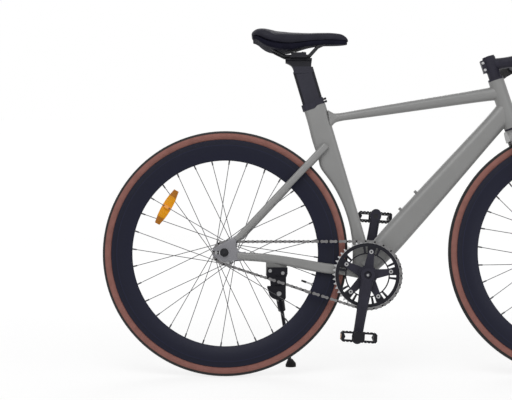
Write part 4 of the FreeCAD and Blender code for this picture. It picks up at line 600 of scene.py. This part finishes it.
def make_materials():
    """Every finish of the bike, by the record's slot, by a node's name or by a wheel's lens."""
    rear = leaned_point(0.0, 0.0, AXLE_HEIGHT)
    front = leaned_point(WHEELBASE, 0.0, AXLE_HEIGHT)
    crank = leaned_point(*CRANK_CENTRE)
    return {
        "frame_paint": paint("frame_paint", FRAME_GREY, roughness=0.4, coat=0.25),
        "black_alloy": anodised("black_alloy", BLACK_ALLOY, roughness=0.4),
        "silver_hub": metal("silver_hub", STEEL, roughness=0.28, grain=800.0),
        "dropouts": paint("dropout_paint", DROPOUT_GREY, roughness=0.38, coat=0.25),
        "post_paint": post_material("post_paint"),
        "chainring": ring_material("chainring_finish", crank),
        "rear_cog": metal("cog_steel", BRIGHT, roughness=0.3, grain=1200.0),
        "rear_inner_tube": valve_material("rear_valve", rear),
        "front_inner_tube": valve_material("front_valve", front),
        "rear_rim": rim_material("rear_rim_finish", rear),
        "front_rim": rim_material("front_rim_finish", front),
        "rear_tyre": tyre_material("rear_tyre_rubber", rear),
        "front_tyre": tyre_material("front_tyre_rubber", front),
        "inner_tube_rubber": moulded("inner_tube_rubber", RUBBER_BLACK, roughness=0.6, scale=900.0),
        "spoke_steel": metal("spoke_steel", SPOKE_GREY, roughness=0.34, grain=1500.0),
        "bolt_steel": metal("bolt_steel", BRIGHT, roughness=0.3, grain=1200.0),
        "axle_steel": metal("axle_steel", OXIDE, roughness=0.38, grain=1200.0),
        "chain_bright": metal("chain_bright", CHAIN_BRIGHT, roughness=0.34, grain=1500.0),
        "chain_dark": metal("chain_dark", CHAIN_DARK, roughness=0.42, grain=1500.0),
        "rear_lens": amber_material("rear_lens", *reflector_axes("rear")[:2], LENS_HALF),
        "front_lens": amber_material("front_lens", *reflector_axes("front")[:2], LENS_HALF),
        # Lenses on the pedals have no clip or blocks, so this one is spread over the whole bike
        "amber_lens": amber_material("amber_lens", leaned_point(0, 0, 0), leaned_direction(1, 0, 0),
                                     WHEELBASE),
        "crank_bolts": crank_bolt_material("crank_bolt_finish", crank),
        "saddle_clamp": anodised("saddle_clamp_black", DEEP_BLACK_AND_SHADE, roughness=0.4),
        # The bracket's darker black is painted shade
        "kickstand_bracket": anodised("stand_bracket_shaded_black", DEEP_BLACK_AND_SHADE, roughness=0.4),
        "kickstand_leg": anodised("stand_leg_black", DEEP_BLACK_AND_SHADE, roughness=0.4),
        "kickstand_bolts": metal("stand_bolt_steel", BOLT_GREY, roughness=0.34, grain=1200.0),
        "seat_clamp_bolts": metal("collar_bolt_steel", OXIDE, roughness=0.38, grain=1200.0),
        "saddle_shell": moulded("saddle_shell_plastic", LEATHER_BLACK, roughness=0.7, scale=1400.0,
                                specular=0.06),
        "pedal_plastic": moulded("pedal_plastic", PLASTIC_BLACK, roughness=0.5, scale=1400.0),
        "grip_rubber": moulded("grip_rubber", RUBBER_BLACK, roughness=0.7, scale=1100.0),
        "saddle_cover": leather_material("saddle_cover"),
    }


def put_on(mesh, material):
    """Gives a mesh one finish."""
    mesh.materials.clear()
    mesh.materials.append(material)


def dress_nodes(frame, materials):
    """Gives every CAD piece its own finish, or else that of its slot."""
    for row in frame["record"]["subparts"]:
        node = row["node"]
        material = materials.get(node) or materials[row["material_slot"]]
        put_on(frame["nodes"][node].data, material)


# Stage


def light_path_white(tree):
    """1 for rays that see the background by eye, in a mirror or through glass."""
    path = tree.nodes.new("ShaderNodeLightPath")
    seen = math_node(tree, "ADD", path.outputs["Is Camera Ray"], path.outputs["Is Glossy Ray"])
    seen = math_node(tree, "ADD", seen, path.outputs["Is Transmission Ray"])
    return math_node(tree, "MINIMUM", seen, 1.0)


def make_world():
    """White surround that lights the bike at a plain level."""
    world = bpy.data.worlds.new("studio")
    bpy.context.scene.world = world
    world.use_nodes = True
    tree = world.node_tree
    background = tree.nodes["Background"]
    background.inputs["Color"].default_value = (*WHITE, 1.0)
    lit = mapped(tree, light_path_white(tree), To_Min=SURROUND_LIGHT, To_Max=1.0)
    link(tree, lit, background.inputs["Strength"])


def floor_material():
    """Pale floor that looks nearly white and keeps a faint shadow."""
    material, tree, shader = new_material("floor_pale")
    shader.inputs["Base Color"].default_value = FLOOR_PALE
    shader.inputs["Roughness"].default_value = 0.9
    seen = light_path_white(tree)
    away = vector_node(tree, "DISTANCE", coordinates(tree), (0.0, 0.0, 0.0)).outputs["Value"]
    near, far = FLOOR_GLOW_REACH
    level = mapped(tree, away, From_Min=near, From_Max=far, To_Min=FLOOR_GLOW_NEAR, To_Max=FLOOR_GLOW_FAR)
    glow = add(tree, "ShaderNodeEmission")
    link(tree, math_node(tree, "MULTIPLY", seen, level), glow.inputs["Strength"])
    dimmed = tree.nodes.new("ShaderNodeMixShader")
    link(tree, math_node(tree, "MULTIPLY", seen, 1.0 - FLOOR_SHADOW), dimmed.inputs["Fac"])
    link(tree, shader.outputs["BSDF"], dimmed.inputs[1])
    both = tree.nodes.new("ShaderNodeAddShader")
    link(tree, dimmed.outputs["Shader"], both.inputs[0])
    link(tree, glow.outputs["Emission"], both.inputs[1])
    link(tree, both.outputs["Shader"], tree.nodes["Material Output"].inputs["Surface"])
    return material


def make_floor():
    """Wide flat floor under the bike."""
    mesh = bpy.data.meshes.new("floor")
    signs = [(-1, -1), (1, -1), (1, 1), (-1, 1)]
    corners = [(x * FLOOR_HALF, y * FLOOR_HALF, 0) for x, y in signs]
    mesh.from_pydata(corners, [], [(0, 1, 2, 3)])
    floor = new_object("floor", mesh)
    mesh.materials.append(floor_material())


def make_lights():
    """Soft lamps: key from above on the drive side, fill from the front and one behind."""
    for name, (place, target, size, watts) in LAMPS.items():
        lamp = bpy.data.lights.new(name, "AREA")
        lamp.size = size
        lamp.energy = watts
        holder = new_object(name, lamp)
        holder.location = place
        holder.rotation_euler = (Vector(target) - Vector(place)).to_track_quat("-Z", "Y").to_euler()


def make_camera():
    """Camera at the photograph's distance and angle."""
    place = leaned_point(*CAMERA_PLACE)
    back = place - leaned_point(*CAMERA_TARGET)
    data = bpy.data.cameras.new("camera")
    data.sensor_width = SENSOR
    data.lens = SENSOR * back.length / VIEW_WIDTH
    data.clip_end = VIEW_END
    camera = new_object("camera", data)
    back.normalize()
    right = leaned_direction(0, 0, 1).cross(back).normalized()
    matrix = Matrix((right, back.cross(right), back)).transposed().to_4x4()
    matrix.translation = place
    camera.matrix_world = matrix
    bpy.context.scene.camera = camera


# Mesh helpers


def applied(piece):
    """Mesh of a piece with its modifiers applied."""
    graph = bpy.context.evaluated_depsgraph_get()
    return bpy.data.meshes.new_from_object(piece.evaluated_get(graph))


def apply_modifiers(piece):
    """Makes a piece's modifiers part of its mesh."""
    piece.data = applied(piece)
    piece.modifiers.clear()


def smooth(mesh):
    """Smooth shading on every face."""
    for face in mesh.polygons:
        face.use_smooth = True


def ringed_mesh(name, rings):
    """Closed mesh through rings of points, with flat ends."""
    count = len(rings[0])
    points = [point for ring in rings for point in ring]
    faces = []
    for i in range(len(rings) - 1):
        for j in range(count):
            k = (j + 1) % count
            faces.append((i * count + j, i * count + k, (i + 1) * count + k, (i + 1) * count + j))
    faces.append(tuple(reversed(range(count))))
    faces.append(tuple(range(len(points) - count, len(points))))
    mesh = bpy.data.meshes.new(name)
    mesh.from_pydata(points, [], faces)
    return mesh


def disc_rings(x, z, radius, first, last):
    """Two circles across the bike, for a disc or a bar."""
    rings = []
    for y in (first, last):
        ring = []
        for i in range(CIRCLE_SIDES):
            a = math.tau * i / CIRCLE_SIDES
            ring.append(leaned_point(x + radius * math.cos(a), y, z + radius * math.sin(a)))
        rings.append(ring)
    return rings


def finished_piece(name, mesh, bevel, material):
    """Object with rounded edges, outward faces and its finish."""
    form = bmesh.new()
    form.from_mesh(mesh)
    bmesh.ops.recalc_face_normals(form, faces=form.faces)
    form.to_mesh(mesh)
    form.free()
    piece = new_object(name, mesh)
    rounded = piece.modifiers.new("rounded", "BEVEL")
    rounded.width = bevel
    rounded.segments = BEVEL_SEGMENTS
    rounded.limit_method = "ANGLE"
    rounded.angle_limit = BEVEL_ANGLE
    apply_modifiers(piece)
    smooth(piece.data)
    piece.data.set_sharp_from_angle(angle=SHARP_ANGLE)
    put_on(piece.data, material)
    return piece


# Saddle cover


def remeshed_pad(frame):
    """Even mesh of the padded top, drawn in a little before it swells."""
    piece = new_object("saddle_cushion", frame["nodes"]["saddle_pad"].data.copy())
    weld = piece.modifiers.new("weld", "WELD")
    weld.merge_threshold = PAD_WELD
    even = piece.modifiers.new("even", "REMESH")
    even.mode = "VOXEL"
    even.voxel_size = PAD_VOXEL
    apply_modifiers(piece)
    for vertex, normal in [(v, v.normal.copy()) for v in piece.data.vertices]:
        vertex.co -= normal * PAD_DRAWN_IN
    return piece


def swell(piece):
    """Foam pressure under the cover, with the underside held by the shell."""
    down = leaned_direction(0, 0, -1)
    held = piece.vertex_groups.new(name="held")
    for vertex in piece.data.vertices:
        if vertex.normal.dot(down) > PAD_UNDERSIDE:
            held.add([vertex.index], 1.0, "REPLACE")
    rest = [v.co.copy() for v in piece.data.vertices]
    cloth = piece.modifiers.new("cloth", "CLOTH")
    cloth.settings.use_pressure = True
    cloth.settings.uniform_pressure_force = PAD_PRESSURE
    cloth.settings.effector_weights.gravity = 0.0
    cloth.settings.vertex_group_mass = "held"
    scene = bpy.context.scene
    for step in range(1, PAD_STEPS + 1):
        scene.frame_set(step)
    settled = applied(piece)
    piece.modifiers.clear()
    scene.frame_set(1)
    for vertex, swelled, start in zip(piece.data.vertices, settled.vertices, rest):
        shift = swelled.co - start
        if shift.length > PAD_SWELL:
            shift = shift.normalized() * PAD_SWELL
        vertex.co = start + shift
    bpy.data.meshes.remove(settled)


def make_saddle(frame, materials):
    """Padded saddle top in place of its plain solid."""
    piece = remeshed_pad(frame)
    swell(piece)
    piece.vertex_groups.clear()
    relax = piece.modifiers.new("relax", "SMOOTH")
    relax.iterations = PAD_RELAX
    piece.modifiers.new("subdivision", "SUBSURF").levels = 1
    apply_modifiers(piece)
    smooth(piece.data)
    put_on(piece.data, materials["saddle_cover"])
    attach(piece, "seat")
    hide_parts("saddle_pad")


# Spoke reflectors, crank ends and dropouts


def lens_rings(centre, lens_way, across):
    """Sections of the barrel lens with a ridge down both faces and a lower block at each end."""
    side = leaned_direction(0, 1, 0)
    block = LENS_HALF + BLOCK_GAP
    places = [(-REFLECTOR_HALF, BLOCK_STEP), (-block, BLOCK_STEP)]
    places += [(LENS_HALF * (2.0 * i / LENS_STEPS - 1.0), 0.0) for i in range(LENS_STEPS + 1)]
    places += [(block, BLOCK_STEP), (REFLECTOR_HALF, BLOCK_STEP)]
    rings = []
    for u, lower in places:
        w = LENS_WIDE - LENS_TAPER * u * u - lower
        rim = LENS_RIM - lower
        ridge = LENS_RIDGE - lower
        outline = [(w, -rim), (w, rim), (0.0, ridge), (-w, rim), (-w, -rim), (0.0, -ridge)]
        rings.append([centre + lens_way * u + across * v + side * y for v, y in outline])
    return rings


def clip_rings(centre, lens_way, across):
    """Block that holds the reflector's spoke, on the drive side of the lens."""
    half_long, half_wide, height = CLIP
    corners = [(-half_long, -half_wide), (half_long, -half_wide),
               (half_long, half_wide), (-half_long, half_wide)]
    rings = []
    for depth in (0.0, -height):
        middle = centre + leaned_direction(0, depth, 0)
        rings.append([middle + lens_way * u + across * v for u, v in corners])
    return rings


def make_reflectors(materials):
    """Barrel-shaped spoke reflectors in place of their plain solids."""
    for wheel in REFLECTORS:
        axes = reflector_axes(wheel)
        amber = materials[wheel + "_lens"]
        lens_mesh = ringed_mesh("lens", lens_rings(*axes))
        lens = finished_piece(wheel + "_reflector_lens", lens_mesh, LENS_BEVEL, amber)
        clip_mesh = ringed_mesh("clip", clip_rings(*axes))
        clip = finished_piece(wheel + "_reflector_clip", clip_mesh, CLIP_BEVEL, amber)
        for piece in (lens, clip):
            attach(piece, wheel + "_wheel")
            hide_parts(wheel + "_reflector")


def make_crank_ends(materials):
    """Round end of each crank arm past its pedal axle."""
    for name, sign, angle in (("right", -1.0, CRANK_ANGLE), ("left", 1.0, CRANK_ANGLE + 180.0)):
        turn = math.radians(angle)
        x = CRANK_CENTRE[0] + CRANK_END * math.cos(turn)
        z = CRANK_CENTRE[2] + CRANK_END * math.sin(turn)
        rings = disc_rings(x, z, CRANK_END_RADIUS, sign * CRANK_BACK, sign * CRANK_FACE)
        mesh = ringed_mesh("crank_end", rings)
        piece = finished_piece("crank_end_" + name, mesh, CRANK_END_BEVEL, materials["black_alloy"])
        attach(piece, "cranks")


def make_scallops(frame, materials):
    """Dropouts and seatstays with the round scallop that shows the cog between the stays."""
    rings = disc_rings(SCALLOP_X, SCALLOP_Z, SCALLOP_RADIUS, -SCALLOP_REACH, SCALLOP_REACH)
    cutter = finished_piece("scallop", ringed_mesh("scallop", rings), 0.0, materials["frame_paint"])
    for node, finish in (("dropouts", "dropouts"), ("seatstays", "frame_paint")):
        piece = new_object("scalloped_" + node, frame["nodes"][node].data.copy())
        piece.modifiers.new("weld", "WELD").merge_threshold = SCALLOP_WELD
        cut = piece.modifiers.new("cut", "BOOLEAN")
        cut.object = cutter
        cut.operation = "DIFFERENCE"
        apply_modifiers(piece)
        smooth(piece.data)
        piece.data.set_sharp_from_angle(angle=SCALLOP_SHARP)
        put_on(piece.data, materials[finish])
        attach(piece, "frame")
        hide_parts(node)
    bpy.data.objects.remove(cutter)


def main():
    """Builds the dressed bike and its studio."""
    for old in list(bpy.data.objects):
        bpy.data.objects.remove(old)
    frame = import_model()
    bpy.context.scene.view_settings.view_transform = "Standard"
    materials = make_materials()
    dress_nodes(frame, materials)
    make_saddle(frame, materials)
    make_reflectors(materials)
    make_crank_ends(materials)
    make_scallops(frame, materials)
    make_world()
    make_floor()
    make_lights()
    make_camera()


main()
